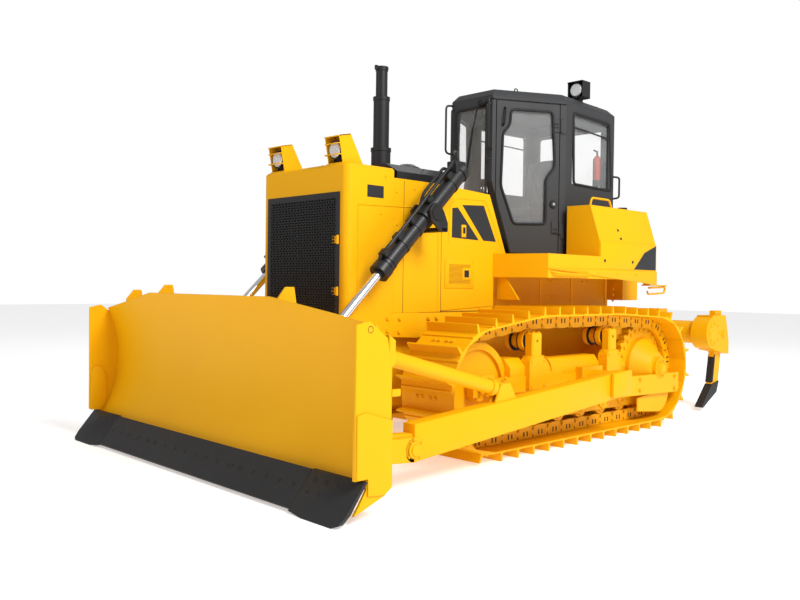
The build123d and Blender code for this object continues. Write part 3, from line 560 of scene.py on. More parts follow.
def hoodSeams():
    inner = hood["side"] - 0.001
    outer = hood["side"] + 0.0012
    found = [addBox("seam", (inner, y - 0.0022, 1.20), (outer, y + 0.0022, 2.31)) for y in hood["seams"]]
    found.append(addBox("seam", (inner, -1.16, 1.206), (outer, -0.45, 1.210)))
    mirrorPair(joinPieces("hoodSeams", found), slot="dark_plastic")


def guardSkirt():
    # the guard's side sheet carries on under the hood to the hull, with its bolts
    mirrorPair(addPlate("guardSkirt", hood["guardSkirt"], 0, 0.556, 0.568, 0.002))
    mirrorPair(addPlate("hullSkirt", hood["hullSkirt"], 0, 0.552, 0.564, 0.002))
    for sign in (1, -1):
        x = sign * hood["side"]
        boltsAt("skirtBolts", [(x, y, z) for y, z in hood["boltGroup"]], (sign, 0, 0), 0.017, 0.014)
        boltsAt("panelBolts", [(x, y, z) for y, z in hood["loneBolts"]], (sign, 0, 0), 0.011, 0.008,
                kind=roundHead)


def ratingPlate():
    # a plain black plate, left without lettering
    (y0, z0), (y1, z1) = hood["plate"]
    side = hood["side"]
    plate = addBox("ratingPlate", (side - 0.001, y0, z0), (side + 0.002, y1, z1), 0.001, 1)
    finishPiece(plate, "root", "dark_plastic", stripeBlack)


def hoodTopTrim():
    # the seam cover behind the guard and the bolts on top of it
    strip = addBox("topSeam", (-0.56, -1.742, 2.318), (0.56, -1.735, 2.402), 0.001, 1)
    finishPiece(strip, slot="dark_plastic")
    boltsAt("topBolts", [(x, y, 2.40) for x, y in hood["topBolts"]], (0, 0, 1), 0.012, 0.009, kind=roundHead)


# grille: fine lattice of small lozenge holes in a plain frame

grille = {
    "half": 0.490,
    "low": 1.120,
    "high": 2.172,
    "front": -2.250,
    "border": 0.044,
    "pitch": 0.030,
    "shortestBar": 0.01,
    "boltInset": 0.075,
}


def latticeMatrices(half, rise, middle, front):
    # where each bar of the two slanting families runs inside the window
    step = grille["pitch"] * math.sqrt(2)
    count = int((half + rise) * 2 / step) + 2
    matrices = []
    for lean in (1, -1):
        for index in range(-count, count + 1):
            clipped = clipDiagonal(index * step, lean, half, rise)
            if clipped is None:
                continue
            (x0, z0), (x1, z1) = clipped
            length = math.hypot(x1 - x0, z1 - z0)
            if length < grille["shortestBar"]:
                continue
            turn = Matrix.Rotation(math.atan2(x1 - x0, z1 - z0), 4, "Y")
            place = Matrix.Translation(((x0 + x1) / 2, front - 0.0035, middle + (z0 + z1) / 2))
            matrices.append(place @ turn @ Matrix.Scale(length, 4, (0, 0, 1)))
    return matrices


def grilleLattice():
    outer, bottom, top, front = grille["half"], grille["low"], grille["high"], grille["front"]
    half = outer - grille["border"]
    low = bottom + grille["border"]
    high = top - grille["border"]
    sample = addBox("latticeBar", (-0.0055, -0.003, -0.5), (0.0055, 0.003, 0.5))
    places = latticeMatrices(half, (high - low) / 2, (low + high) / 2, front)
    finishPiece(repeated("grilleLattice", sample, places), "grille", "grille_black")
    # a near-black sheet just behind the lattice: painted shade of the space behind the grille
    shadeSheet = addBox("grilleShadeSheet", (-0.460, front + 0.002, 1.132), (0.460, front + 0.016, 2.118))
    finishPiece(shadeSheet, "grille", "dark_plastic")
    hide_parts("grille_door")
    sides = (
        (-outer, outer, bottom, low + 0.004), (-outer, outer, high - 0.004, top),
        (-outer, -half + 0.004, low, high), (half - 0.004, outer, low, high))
    border = [addBox("grilleRim", (x0, front - 0.007, z0), (x1, front + 0.001, z1), 0.003, 1)
              for x0, x1, z0, z1 in sides]
    finishPiece(joinPieces("grilleRim", border), "grille", "grille_black")
    inset = grille["boltInset"]
    screws = [(x, front - 0.007, z) for x in (inset - outer, outer - inset)
              for z in (bottom + inset, top - inset)]
    boltsAt("grilleBolts", screws, (0, -1, 0), 0.011, 0.008, "grille", "grille_black", kind=roundHead)
    hingeBolts = [(0.440, front - 0.022, z + step) for z in (1.38, 1.79) for step in (-0.014, 0.014)]
    boltsAt("hingeBolts", hingeBolts, (0, -1, 0), 0.010, 0.012, "grille", "dark_plastic")


def clipDiagonal(offset, lean, half, rise):
    # the stretch of the line x = offset + lean * z that lies inside the window
    points = []
    for z in (-rise, rise):
        x = offset + lean * z
        if -half <= x <= half:
            points.append((x, z))
    for x in (-half, half):
        z = (x - offset) * lean
        if -rise <= z <= rise:
            points.append((x, z))
    points = sorted(set((round(x, 6), round(z, 6)) for x, z in points))
    if len(points) < 2:
        return None
    return points[0], points[-1]


# console: black panels, access door, handles

console = {
    "side": 0.570,
    "leftPanel": ((-1.023, 2.125), (-0.952, 2.136), (-0.658, 1.855), (-1.026, 1.864)),
    "rearPanel": ((-0.892, 2.162), (-0.594, 2.179), (-0.412, 1.852), (-0.595, 1.855)),
    "frameLine": ((-1.068, 1.812), (-1.058, 2.150), (-0.960, 2.215), (-0.565, 2.225), (-0.340, 1.800)),
    "door": (-1.111, -0.724, 1.413, 1.670),
}


def faceBox(name, x, out, low, high, bevel, segments=1):
    # a box let into a side sheet at x, standing out of it by the given amount
    return addBox(name, (x - out, *low), (x + out, *high), bevel, segments)


def consolePanels():
    for sign in (1, -1):
        x = sign * console["side"]
        for key in ("leftPanel", "rearPanel"):
            plate = addPlate(key, console[key], 0, x - 0.0012, x + 0.0012)
            finishPiece(plate, "root", "black_paint", stripeBlack)
        finishPiece(addTube("panelFrame", [(x, y, z) for y, z in console["frameLine"]], 0.0045, 8, 0.03))
        finishPiece(faceBox("panelHandle", x, 0.014, (-0.905, 1.872), (-0.845, 1.985), 0.006, 2))
        # a dark patch laid on the handle face: painted shade of the handle's recess
        finishPiece(
            faceBox("handleRecessShade", x, 0.0155, (-0.892, 1.905), (-0.858, 1.962), 0.002), slot="dark_plastic")


def rectangle(y0, y1, z0, z1):
    return [(y0, z0), (y1, z0), (y1, z1), (y0, z1)]


def accessDoor():
    side = console["side"]
    y0, y1, z0, z1 = console["door"]
    for sign in (1, -1):
        x = sign * side
        finishPiece(addPlate("accessDoor", rectangle(y0, y1, z0, z1), 0, x, x + sign * 0.006, 0.003))
        inner = rectangle(y0 + 0.05, y1 - 0.05, z0 + 0.04, z1 - 0.04)
        # the door's mesh sheet, its holes painted dark as painted shade
        finishPiece(addPlate("doorMesh", inner, 0, x + sign * 0.005, x + sign * 0.0075), material=meshPaint)
        finishPiece(faceBox("doorLatch", x, 0.011, (-0.885, 1.490), (-0.750, 1.598), 0.004, 2))
        # a dark patch laid on the latch face: painted shade of the latch's slot
        finishPiece(
            faceBox("latchSlotShade", x, 0.0125, (-0.862, 1.512), (-0.800, 1.576), 0.0008), slot="dark_plastic")
        screws = [(x + sign * 0.006, y, z) for y in (y0 + 0.02, y1 - 0.02) for z in (z0 + 0.02, z1 - 0.02)]
        boltsAt("doorScrews", screws, (sign, 0, 0), 0.007, 0.005, kind=roundHead)


# platform: lip, skirt, handles and steps

platform = {
    "side": 1.098,
    "front": -0.310,
    "rear": 1.620,
    "skirt": ((0.545, 1.618), (1.615, 1.622), (1.615, 1.890), (0.545, 1.890)),
    "stripe": ((1.167, 1.626), (1.606, 1.626), (1.606, 1.884), (1.370, 1.803)),
    "rail": ((0.90, 0.650, 2.250), (0.90, 0.675, 2.335), (0.90, 1.000, 2.335), (0.90, 1.040, 2.250)),
    "latches": ((1.050, 0.926, 2.015), (1.078, 0.941, 1.930)),
    "step": ((1.02, 1.615, 1.440), (1.02, 1.930, 1.450), (1.00, 2.000, 1.455), (0.99, 2.000, 1.385),
             (1.00, 1.640, 1.372), (1.00, 1.615, 1.400)),
    "wall": 0.700,
    "ribs": (0.10, 0.62, 1.25),
    "wallBolts": ((0.25, 1.34), (0.25, 1.50), (0.31, 1.34), (0.31, 1.50), (0.37, 1.34), (0.37, 1.50),
                  (0.85, 1.49),
                  (0.92, 1.49), (1.42, 1.30), (1.42, 1.36), (1.42, 1.42)),
}


def platformLip():
    side, front, rear = platform["side"], platform["front"], platform["rear"]
    outline = [(front, 1.600), (rear, 1.470), (rear, 1.614), (front, 1.606)]
    mirrorPair(addPlate("platformLip", outline, 0, side - 0.001, side + 0.012, 0.003))
    mirrorPair(addPlate("tankSkirt", platform["skirt"], 0, 1.0905, 1.0995, 0.002))
    mirrorPair(
        addPlate("rearStripe", platform["stripe"], 0, 1.0990, 1.1008), "root", "black_paint", stripeBlack)
    bar = [(side, -0.265, 1.580), (side + 0.035, -0.235, 1.565), (side + 0.035, 0.300, 1.552),
           (side, 0.330, 1.570)]
    mirrorPair(addTube("lipHandle", bar, 0.010, 10, 0.03))
    screws = [(side + 0.012, front + 0.1 + 0.35 * index, 1.575) for index in range(5)]
    dots = [(side + 0.0015, y, 1.700) for y in (0.62, 1.14)]
    for sign in (1, -1):
        boltsAt("lipBolts", onSide(sign, *screws), (sign, 0, 0), 0.011, 0.008, kind=roundHead)
        boltsAt("skirtStuds", onSide(sign, *dots), (sign, 0, 0), 0.016, 0.005, slot="dark_plastic",
                kind=roundHead)


def tankFittings():
    for sign in (1, -1):
        finishPiece(addTube("tankRail", onSide(sign, *platform["rail"]), 0.011, 10, 0.035))
        studs = onSide(sign, *platform["latches"])
        boltsAt(
            "tankLatches", studs, (sign * 0.952, 0, 0.307), 0.014, 0.008, slot="dark_plastic", kind=roundHead)
        seam = addBox("tankSeam", *onSide(sign, (0.700, 0.5385, 1.75), (0.704, 0.5400, 2.24)))
        finishPiece(seam, slot="dark_plastic")
        cap = addRound("fillerCap", *onSide(sign, (0.84, 1.35, 2.250), (0.84, 1.35, 2.285)), 0.055, 24, 0.050)
        finishPiece(cap, slot="dark_plastic")
    for sign in (1, -1):
        shelf = addBox("stepShelf", *onSide(sign, (0.96, 1.560, 1.462), (1.05, 1.960, 1.474)), 0.002, 1)
        hanger = addBox("stepHanger", *onSide(sign, (0.98, 1.560, 1.470), (1.04, 1.610, 1.524)), 0.002, 1)
        finishPiece(joinPieces("stepShelf", [shelf, hanger]))
        finishPiece(addTube("rearStep", onSide(sign, *platform["step"]), 0.011, 10, 0.04))


def fenderWallDetails():
    # ribs and bolts on the wall that shows under the fender
    wall = platform["wall"]
    for sign in (1, -1):
        for y in platform["ribs"]:
            corners = onSide(sign, (wall - 0.004, y, 1.26), (wall + 0.012, y + 0.03, 1.565))
            finishPiece(addBox("wallRib", *corners, 0.003, 1))
        boltsAt(
            "wallBolts", [(sign * wall, y, z) for y, z in platform["wallBolts"]], (sign, 0, 0), 0.013, 0.010)


# cab: window seals, hinges, latch, handles, rails, wiper, lamps

cab = {
    "front": (0.270, -0.130),
    "middle": (0.644, 0.583),
    "rear": (0.572, 1.602),
    "doorWindow": ((0.150, 3.200), (0.605, 3.195), (0.615, 3.040), (0.690, 2.960), (0.706, 2.435),
                   (0.566, 2.060),
                   (0.215, 2.070), (0.215, 2.530), (0.118, 2.650)),
    "quarterWindow": ((0.140, 3.225), (0.905, 3.225), (0.965, 2.500), (0.165, 2.500)),
    "frontWindow": ((0.075, 3.225), (0.465, 3.225), (0.465, 2.250), (0.075, 2.250)),
    "rearWindow": ((0.130, 3.190), (1.014, 3.190), (1.014, 2.330), (0.130, 2.330)),
    "seal": 0.0135,
    "latch": (0.132, 2.271),
    "handle": ((0.690, 3.030, 0.0), (0.690, 3.045, 0.035), (0.674, 3.190, 0.035), (0.674, 3.208, 0.0)),
    "hingeLevels": (2.000, 3.062),
    "sill": ((0.125, 2.322), (0.900, 2.322), (0.900, 2.500), (0.125, 2.500)),
    "frontRail": ((0.262, -0.130, 3.290), (0.285, -0.205, 3.285), (0.285, -0.205, 2.800),
                  (0.262, -0.130, 2.790)),
    "cornerRail": ((0.255, -0.132, 3.240), (0.235, -0.175, 3.235), (0.235, -0.175, 2.70),
                   (0.255, -0.132, 2.69)),
    "rearRail": ((0.575, 1.596, 2.660), (0.622, 1.640, 2.655), (0.622, 1.640, 2.430), (0.575, 1.596, 2.420)),
    "rails": (("frontRail", 0.011, 10, 0.05), ("cornerRail", 0.008, 8, 0.04), ("rearRail", 0.011, 10, 0.03)),
    "wiperArm": ((0.16, -0.150, 3.262), (0.10, -0.168, 3.20), (-0.02, -0.152, 2.78)),
}


def wallPoint(start, end, distance, height, out):
    a = Vector(start)
    b = Vector(end)
    along = (b - a).normalized()
    outward = Vector((along.y, -along.x))
    if outward.dot((a + b) / 2 - Vector((0, 0.7))) < 0:
        outward = -outward
    place = a + along * distance + outward * out
    return (place.x, place.y, height)


def doorPoint(*spot):
    return wallPoint(cab["middle"], cab["front"], *spot)


def doorPair(piece, slot, material=None, node=None):
    # the left door's piece and its twin on the right door
    for source, side in ((piece, "left"), (mirrored(piece), "right")):
        finishPiece(source, "door_" + side, slot, material)
        if node:
            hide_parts(node + side)


def wallNormal(start, end):
    base = Vector(wallPoint(start, end, 0, 0, 0))
    return (Vector(wallPoint(start, end, 0, 0, 1)) - base).normalized()


def windowSeal(name, start, end, outline):
    points = [wallPoint(start, end, d, z, 0.001) for d, z in outline]
    middle = (Vector(points[0]) + Vector(points[1])) / 2
    closed = roundedPath([tuple(middle)] + points[1:] + [points[0], tuple(middle)], 0.045, 6)
    return addTube(name, closed, cab["seal"], 12)


def cabSeals():
    front, middle, rear = cab["front"], cab["middle"], cab["rear"]
    doorPair(windowSeal("doorSeal", middle, front, cab["doorWindow"]), "dark_plastic")
    mirrorPair(windowSeal("quarterSeal", middle, rear, cab["quarterWindow"]), slot="dark_plastic")
    finishPiece(
        windowSeal("frontSeal", front, (-front[0], front[1]), cab["frontWindow"]), slot="dark_plastic")
    finishPiece(windowSeal("rearSeal", rear, (-rear[0], rear[1]), cab["rearWindow"]), slot="dark_plastic")
    bar = [wallPoint(middle, rear, *spot) for spot in ((0.150, 3.085, -0.006), (0.925, 3.062, -0.006))]
    mirrorPair(addTube("quarterBar", bar, 0.009, 8), slot="dark_plastic")


def doorFittings():
    normal = wallNormal(cab["middle"], cab["front"])
    latch = cab["latch"]
    ring = addRound("latchRing", doorPoint(*latch, -0.002), doorPoint(*latch, 0.014), 0.042, 32, 0.036)
    button = addRound("latchButton", doorPoint(*latch, 0.012), doorPoint(*latch, 0.022), 0.018, 24, 0.015)
    handle = addTube("doorHandle", [doorPoint(*spot) for spot in cab["handle"]], 0.010, 10, 0.015)
    doorPair(ring, "dark_plastic")
    doorPair(button, "chrome_rod", bareSteel)
    doorPair(handle, "black_paint")
    spots = [doorPoint(distance, level + step, 0.012)
             for level in cab["hingeLevels"] for distance in (0.098, 0.126) for step in (-0.017, 0.017)]
    for sign, body in ((1, "door_left"), (-1, "door_right")):
        facingOut = (sign * normal.x, normal.y, 0)
        boltsAt(
            "hingeBolts", onSide(sign, *spots), facingOut, 0.008, 0.007, body, "dark_plastic", kind=roundHead)
    for level in cab["hingeLevels"]:
        corners = rectangle(0.002, 0.048, level - 0.075, level + 0.075)
        plate = wallPlate("postHinge", cab["middle"], cab["front"], corners, 0.0, 0.010)
        mirrorPair(plate, slot="cab_paint")
    gutter = addTube("doorGutter", [doorPoint(-0.005, 3.292, 0.008), doorPoint(0.80, 3.292, 0.008)], 0.009, 8)
    mirrorPair(gutter, slot="cab_paint")


def wallPlate(name, start, end, corners, low, high, bevel=0.002):
    near, far = ([wallPoint(start, end, d, z, out) for d, z in corners] for out in (low, high))
    return addPrism(name, near, far, bevel)


def cabRails():
    # grab rails at the front corners and the rear corners, and the wiper
    for sign in (1, -1):
        for key, radius, sides, bend in cab["rails"]:
            finishPiece(addTube(key, onSide(sign, *cab[key]), radius, sides, bend), slot="black_paint")
    arm = addTube("wiperArm", cab["wiperArm"], 0.007, 8, 0.02)
    wiper = addBox("wiperBlade", (-0.010, -0.152, -0.24), (0.010, -0.138, 0.24))
    wiper.data.transform(Matrix.Translation((-0.01, 0, 2.80)) @ Matrix.Rotation(math.radians(10), 4, "Y"))
    motor = addBox("wiperMotor", (0.12, -0.190, 3.235), (0.20, -0.131, 3.285), 0.008, 2)
    finishPiece(joinPieces("wiper", [arm, wiper, motor]), slot="dark_plastic")


def roofFittings():
    eye = addBox("liftEye", (0.185, 0.300, 3.394), (0.215, 0.350, 3.440), 0.004, 2)
    loop = [(0.20, y, z) for y, z in ((0.300, 3.43), (0.300, 3.47), (0.350, 3.47), (0.350, 3.43))]
    finishPiece(joinPieces("roofEye", [eye, addTube("liftRing", loop, 0.006, 8, 0.02)]), slot="cab_paint")
    finishPiece(
        addRound("roofKnob", (0.40, 1.49, 3.35), (0.40, 1.49, 3.440), 0.022, 20, 0.018), slot="dark_plastic")


seat = {
    "cushion": ((-0.250, 0.600, 2.160), (0.250, 1.115, 2.285)),
    "back": ((-0.240, 1.075, 2.270), (0.240, 1.225, 2.840)),
    "base": ((-0.200, 0.680, 1.781), (0.200, 1.060, 2.165)),
    "cuts": 6,
    "rounding": 0.10,
}


def roundPad(piece, low, high):
    # edges and corners drawn in, as a stuffed pad has them
    makeActive(piece)
    bpy.ops.object.mode_set(mode="EDIT")
    bpy.ops.mesh.select_all(action="SELECT")
    bpy.ops.mesh.subdivide(number_cuts=seat["cuts"])
    bpy.ops.object.mode_set(mode="OBJECT")
    middle = [(a + b) / 2 for a, b in zip(low, high)]
    half = [(b - a) / 2 for a, b in zip(low, high)]
    for vertex in piece.data.vertices:
        share = [(vertex.co[i] - middle[i]) / half[i] for i in range(3)]
        for i in range(3):
            pull = 1 - seat["rounding"] * sum(abs(share[j]) ** 4 for j in range(3) if j != i)
            vertex.co[i] = middle[i] + half[i] * share[i] * pull
    bpy.ops.object.shade_smooth()


def seatPads():
    cushion = addBox("seatCushion", *seat["cushion"])
    back = addBox("seatBack", *seat["back"])
    roundPad(cushion, *seat["cushion"])
    roundPad(back, *seat["back"])
    finishPiece(addBox("seatBase", *seat["base"], 0.02, 2), "root", "dark_plastic", paints["dark_plastic"])
    pads = joinPieces("seatPads", [cushion, back])
    finishPiece(pads, slot="seat_fabric")
    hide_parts("operator_seat")


extinguisher = {
    "place": (0.42, 1.505),
    "radius": 0.045,
    "levels": (2.555, 2.62, 2.86, 2.90),
}


def cabInside():
    levers = []
    for sign in (1, -1):
        bar = onSide(sign, (0.39, 0.56, 2.28), (0.37, 0.50, 2.44), (0.36, 0.47, 2.54))
        grip = onSide(sign, (0.361, 0.473, 2.52), (0.352, 0.455, 2.60))
        levers += [addTube("lever", bar, 0.010, 8, 0.03), addRound("leverGrip", *grip, 0.020, 16, 0.024)]
    finishPiece(joinPieces("levers", levers), slot="dark_plastic")
    x, y = extinguisher["place"]
    radius = extinguisher["radius"]
    bottom, foot, shoulder, neck = extinguisher["levels"]
    bottle = [addRound("extinguisher", (x, y, foot), (x, y, shoulder), radius, 24),
              addRound("extinguisherTop", (x, y, shoulder), (x, y, neck), radius, 24, 0.016)]
    finishPiece(joinPieces("extinguisher", bottle), "root", "dark_plastic", extinguisherRed)
    ends = addRound("extinguisherFoot", (x, y, bottom), (x, y, foot + 0.005), radius + 0.001, 24)
    valve = addTube(
        "extinguisherValve", [(x, y, neck), (x, y, neck + 0.045), (x, 1.44, 2.95)], 0.010, 8, 0.01)
    finishPiece(joinPieces("extinguisherBlack", [ends, valve]), slot="dark_plastic")
    mirror = addBox("insideMirror", (-0.09, 0.02, 3.10), (0.09, 0.045, 3.19), 0.012, 2)
    stem = addTube("mirrorStem", [(0, 0.03, 3.19), (0, 0.0, 3.28)], 0.007, 8)
    finishPiece(joinPieces("insideMirror", [mirror, stem]), slot="dark_plastic")


# blade: plow bolts, gussets, braces

blade = {
    "half": 1.842,
    "edgeTop": (-3.191, 0.252),
    "edgeTip": (-3.375, 0.020),
    "boltShare": 0.46,
    "boltStep": 0.152,
    "bitBolts": (1.45, 1.56, 1.67),
    "footGusset": ((-3.245, 0.258), (-3.245, 0.600), (-3.215, 0.655), (-3.150, 0.655), (-3.100, 0.56),
                   (-3.100, 0.36),
                   (-3.150, 0.258)),
    "noseFace": 1.512,
}


def edgePoint(x, share):
    top, tip = blade["edgeTop"], blade["edgeTip"]
    return (x, top[0] + (tip[0] - top[0]) * share, top[1] + (tip[1] - top[1]) * share)


def plowBolts():
    along = (Vector(blade["edgeTip"]) - Vector(blade["edgeTop"])).normalized()
    rowX = []
    x = -1.30
    while x < 1.31:
        rowX.append(x)
        x += blade["boltStep"]
    places = [edgePoint(x, blade["boltShare"]) for x in (*rowX, -0.655, -0.57, 0.57, 0.655)]
    for sign in (1, -1):
        places += [edgePoint(sign * x, share) for x in blade["bitBolts"] for share in (0.22, 0.52)]
    boltsAt(
        "plowBolts", places, (0, along.y, -along.x), 0.020, 0.004, "blade", "edge_steel", rubber, roundHead)


def bladeGussets():
    # corner plates at the foot of the moldboard, inside the end plates
    for sign in (1, -1):
        x = sign * (blade["half"] - 0.004)
        finishPiece(addPlate("footGusset", blade["footGusset"], 0, x, x - sign * 0.012, 0.002), "blade")


def endPlateDetails():
    for sign in (1, -1):
        x = sign * bladeEnds["outer"]
        ring = addRing("tieHole", (x, -3.144, 1.165), (x + sign * 0.0010, -3.144, 1.165), 0.018, 0.022, 24)
        finishPiece(ring, "blade", "dark_plastic")
        tab = addBox("rearTab", *onSide(sign, (1.845, -2.965, 0.745), (1.872, -2.890, 0.790)), 0.004, 1)
        finishPiece(tab, "blade")
    y, z = arms["nose"]
    pinFace = []
    for sign in (1, -1):
        x = sign * blade["noseFace"]
        pinFace.append(addRound("nosePin", (x, y, z), (x + sign * 0.016, y, z), 0.042, 32, 0.038))
        pinFace.append(addRound("noseCollar", (x, y, z), (x + sign * 0.006, y, z), 0.060, 32))
        boltsAt("noseBolts", ringPlaces(x, y, z, 0.072, (0.6, 2.2, 3.8, 5.4)), (sign, 0, 0), 0.008, 0.007,
                "blade")
    finishPiece(joinPieces("nosePins", pinFace), "blade")
    ends = []
    for sign in (1, -1):
        for y, z in (arms["braceRear"], arms["braceFront"]):
            ends.append(addRound("bracePin", (sign * 1.405, y, z), (sign * 1.479, y, z), 0.024, 24))
            ends.append(addRound("braceCollar", (sign * 1.470, y, z), (sign * 1.482, y, z), 0.036, 24))
    finishPiece(joinPieces("bracePins", ends), "blade")


# lift cylinders: pipes, clamps, glands and trunnion caps

lift = {
    "x": 0.750,
    "pivot": (-1.530, 2.030),
    "eye": (-2.762, 0.859),
    "barrel": 0.072,
    "cap": -0.570,
    "gland": 0.735,
    "clamps": (-0.38, -0.06, 0.20, 0.40, 0.60),
    "outerPipe": ((-0.54, 0.075, 0.0), (-0.52, 0.135, 0.03), (-0.12, 0.135, 0.045), (0.10, 0.125, 0.050),
                  (0.55, 0.115, 0.045), (0.63, 0.110, 0.02), (0.665, 0.070, 0.0)),
    "innerPipe": ((-0.47, 0.075, -0.03), (-0.45, 0.140, -0.03), (-0.10, 0.140, -0.02), (0.02, 0.120, 0.02)),
}


def liftAlong():
    return (Vector(lift["eye"]) - Vector(lift["pivot"])).normalized()


def liftPoint(sign, distance, out=0.0, aside=0.0):
    # along the cylinder from its trunnion, above it and to its side
    along = liftAlong()
    over = Vector((along.y, -along.x))
    if over.y < 0:
        over = -over
    place = Vector(lift["pivot"]) + along * distance + over * out
    return (sign * (lift["x"] + aside), place.x, place.y)


def liftCylinders():
    radius, gland, cap = lift["barrel"], lift["gland"], lift["cap"]
    bands = (
        ("gland", gland - 0.075, gland + 0.004, 0.040, radius + 0.012),
        ("glandRing", gland - 0.115, gland - 0.085, radius - 0.004, radius + 0.007),
        ("trunnionBand", -0.085, 0.085, radius - 0.004, radius + 0.020))
    along = Vector((0, *liftAlong()))
    for sign in (1, -1):
        x = sign * lift["x"]
        found = [addRing(name, liftPoint(sign, start), liftPoint(sign, end), inner, outer, 32)
                 for name, start, end, inner, outer in bands]
        cover = liftPoint(sign, cap - 0.004), liftPoint(sign, cap + 0.05)
        found.append(addRound("capRing", *cover, radius + 0.010, 32))
        for key, thick in (("outerPipe", 0.015), ("innerPipe", 0.014)):
            found.append(addTube("oilPipe", [liftPoint(sign, *spot) for spot in lift[key]], thick, 12, 0.05))
        for distance in lift["clamps"]:
            clamp = addBox("clamp", (-0.040, -0.020, -0.034), (0.040, 0.020, 0.034), 0.006, 2)
            clamp.data.transform(facing(liftPoint(sign, distance, 0.100, 0.030), along))
            ends = [liftPoint(sign, distance + step) for step in (-0.012, 0.012)]
            found += [clamp, addRing("clampBand", *ends, radius - 0.004, radius + 0.006, 28)]
        found.append(addBox("valveBlock", (x - 0.055, -1.240, 2.400), (x + 0.055, -1.110, 2.500), 0.010, 2))
        elbow = [(x + sign * 0.03, -1.19, 2.48), (x + sign * 0.03, -1.20, 2.56),
                 (x - sign * 0.05, -1.14, 2.59)]
        found.append(addTube("elbow", elbow, 0.018, 12, 0.03))
        finishPiece(joinPieces("liftPipes", found), "lift_barrels", "black_paint")
        ends = [(x + sign * aside, *lift["pivot"]) for aside in (0.118, 0.130)]
        finishPiece(addRound("trunnionCap", *ends, 0.064, 32, 0.058), "lift_barrels", "black_paint")
        seal = addRing(
            "rodSeal", liftPoint(sign, gland + 0.003), liftPoint(sign, gland + 0.022), 0.0375, 0.048, 28)
        finishPiece(seal, "lift_barrels", "dark_plastic")


# undercarriage

tracks = {
    "x": 1.000,
    "shoes": 38,
    "sprocket": (1.430, 0.608, 0.468),
    "idler": (-1.255, 0.585, 0.445),
    "carriers": (-0.580, 0.640),
    "pinHeight": 1.120,
    "carrierRadius": 0.158,
    "seat": 0.054,
    "plate": 0.014,
    "linkFace": 0.088,
    "shoeBolts": (-0.100, -0.045, 0.045, 0.100),
    "yoke": 1.192,
    "bands": (-0.78, -0.53, -0.27),
    "beamBolts": (-0.78, -0.66, -0.36, 0.0, 0.20, 0.40),
    "seals": ((1.094, 1.104, 0.080, 0.072), (0.896, 0.906, 0.080, 0.072), (1.036, 1.046, 0.1005, None),
              (0.954, 0.964, 0.1005, None)),
}


def beltCircles():
    low = tracks["pinHeight"] - tracks["carrierRadius"]
    carriers = [(y, low, tracks["carrierRadius"]) for y in sorted(tracks["carriers"], reverse=True)]
    return [tracks["sprocket"]] + carriers + [tracks["idler"]]


def beltStretches():
    circles = beltCircles()
    tangents = []
    for index, first in enumerate(circles):
        second = circles[(index + 1) % len(circles)]
        heading = math.atan2(second[1] - first[1], second[0] - first[0])
        distance = math.hypot(second[0] - first[0], second[1] - first[1])
        normal = heading - math.acos((first[2] - second[2]) / distance)
        way = Vector((math.cos(normal), math.sin(normal)))
        tangents.append((Vector(first[:2]) + way * first[2], Vector(second[:2]) + way * second[2], normal))
    stretches = []
    for index, (start, end, normal) in enumerate(tangents):
        circle = circles[(index + 1) % len(circles)]
        sweep = (tangents[(index + 1) % len(circles)][2] - normal) % (2 * math.pi)
        stretches.append(("line", start, end, (end - start).length))
        stretches.append(("arc", circle, normal, circle[2] * sweep))
    return stretches


def beltStations(count, offset=0.0):
    # y, z and outward angle of evenly spaced places on the chain line
    stretches = beltStretches()
    total = sum(item[3] for item in stretches)
    found = []
    for index in range(count):
        along = (index + offset) * total / count % total
        for kind, first, second, length in stretches:
            if along > length:
                along -= length
                continue
            if kind == "line":
                place = first.lerp(second, along / length)
                direction = second - first
                found.append((place.x, place.y, math.atan2(direction.y, direction.x) - math.pi / 2))
            else:
                angle = second + along / first[2]
                found.append(
                    (first[0] + first[2] * math.cos(angle), first[1] + first[2] * math.sin(angle), angle))
            break
    return found


def stationMatrix(station, x):
    # local axes: X across the machine, Y along the chain, Z outwards
    y, z, angle = station
    out = Vector((0, math.cos(angle), math.sin(angle)))
    travel = Vector((0, -math.sin(angle), math.cos(angle)))
    across = travel.cross(out)
    return Matrix((
        (across.x, travel.x, out.x, x),
        (across.y, travel.y, out.y, y),
        (across.z, travel.z, out.z, z),
        (0, 0, 0, 1)))


def beltPitch():
    return sum(item[3] for item in beltStretches()) / tracks["shoes"]


def alongBelt(x, *shifts):
    # a matrix for each shift at every place of the chain, ordered place by place
    return [stationMatrix(station, x) @ Matrix.Translation(shift)
            for station in beltStations(tracks["shoes"]) for shift in shifts]


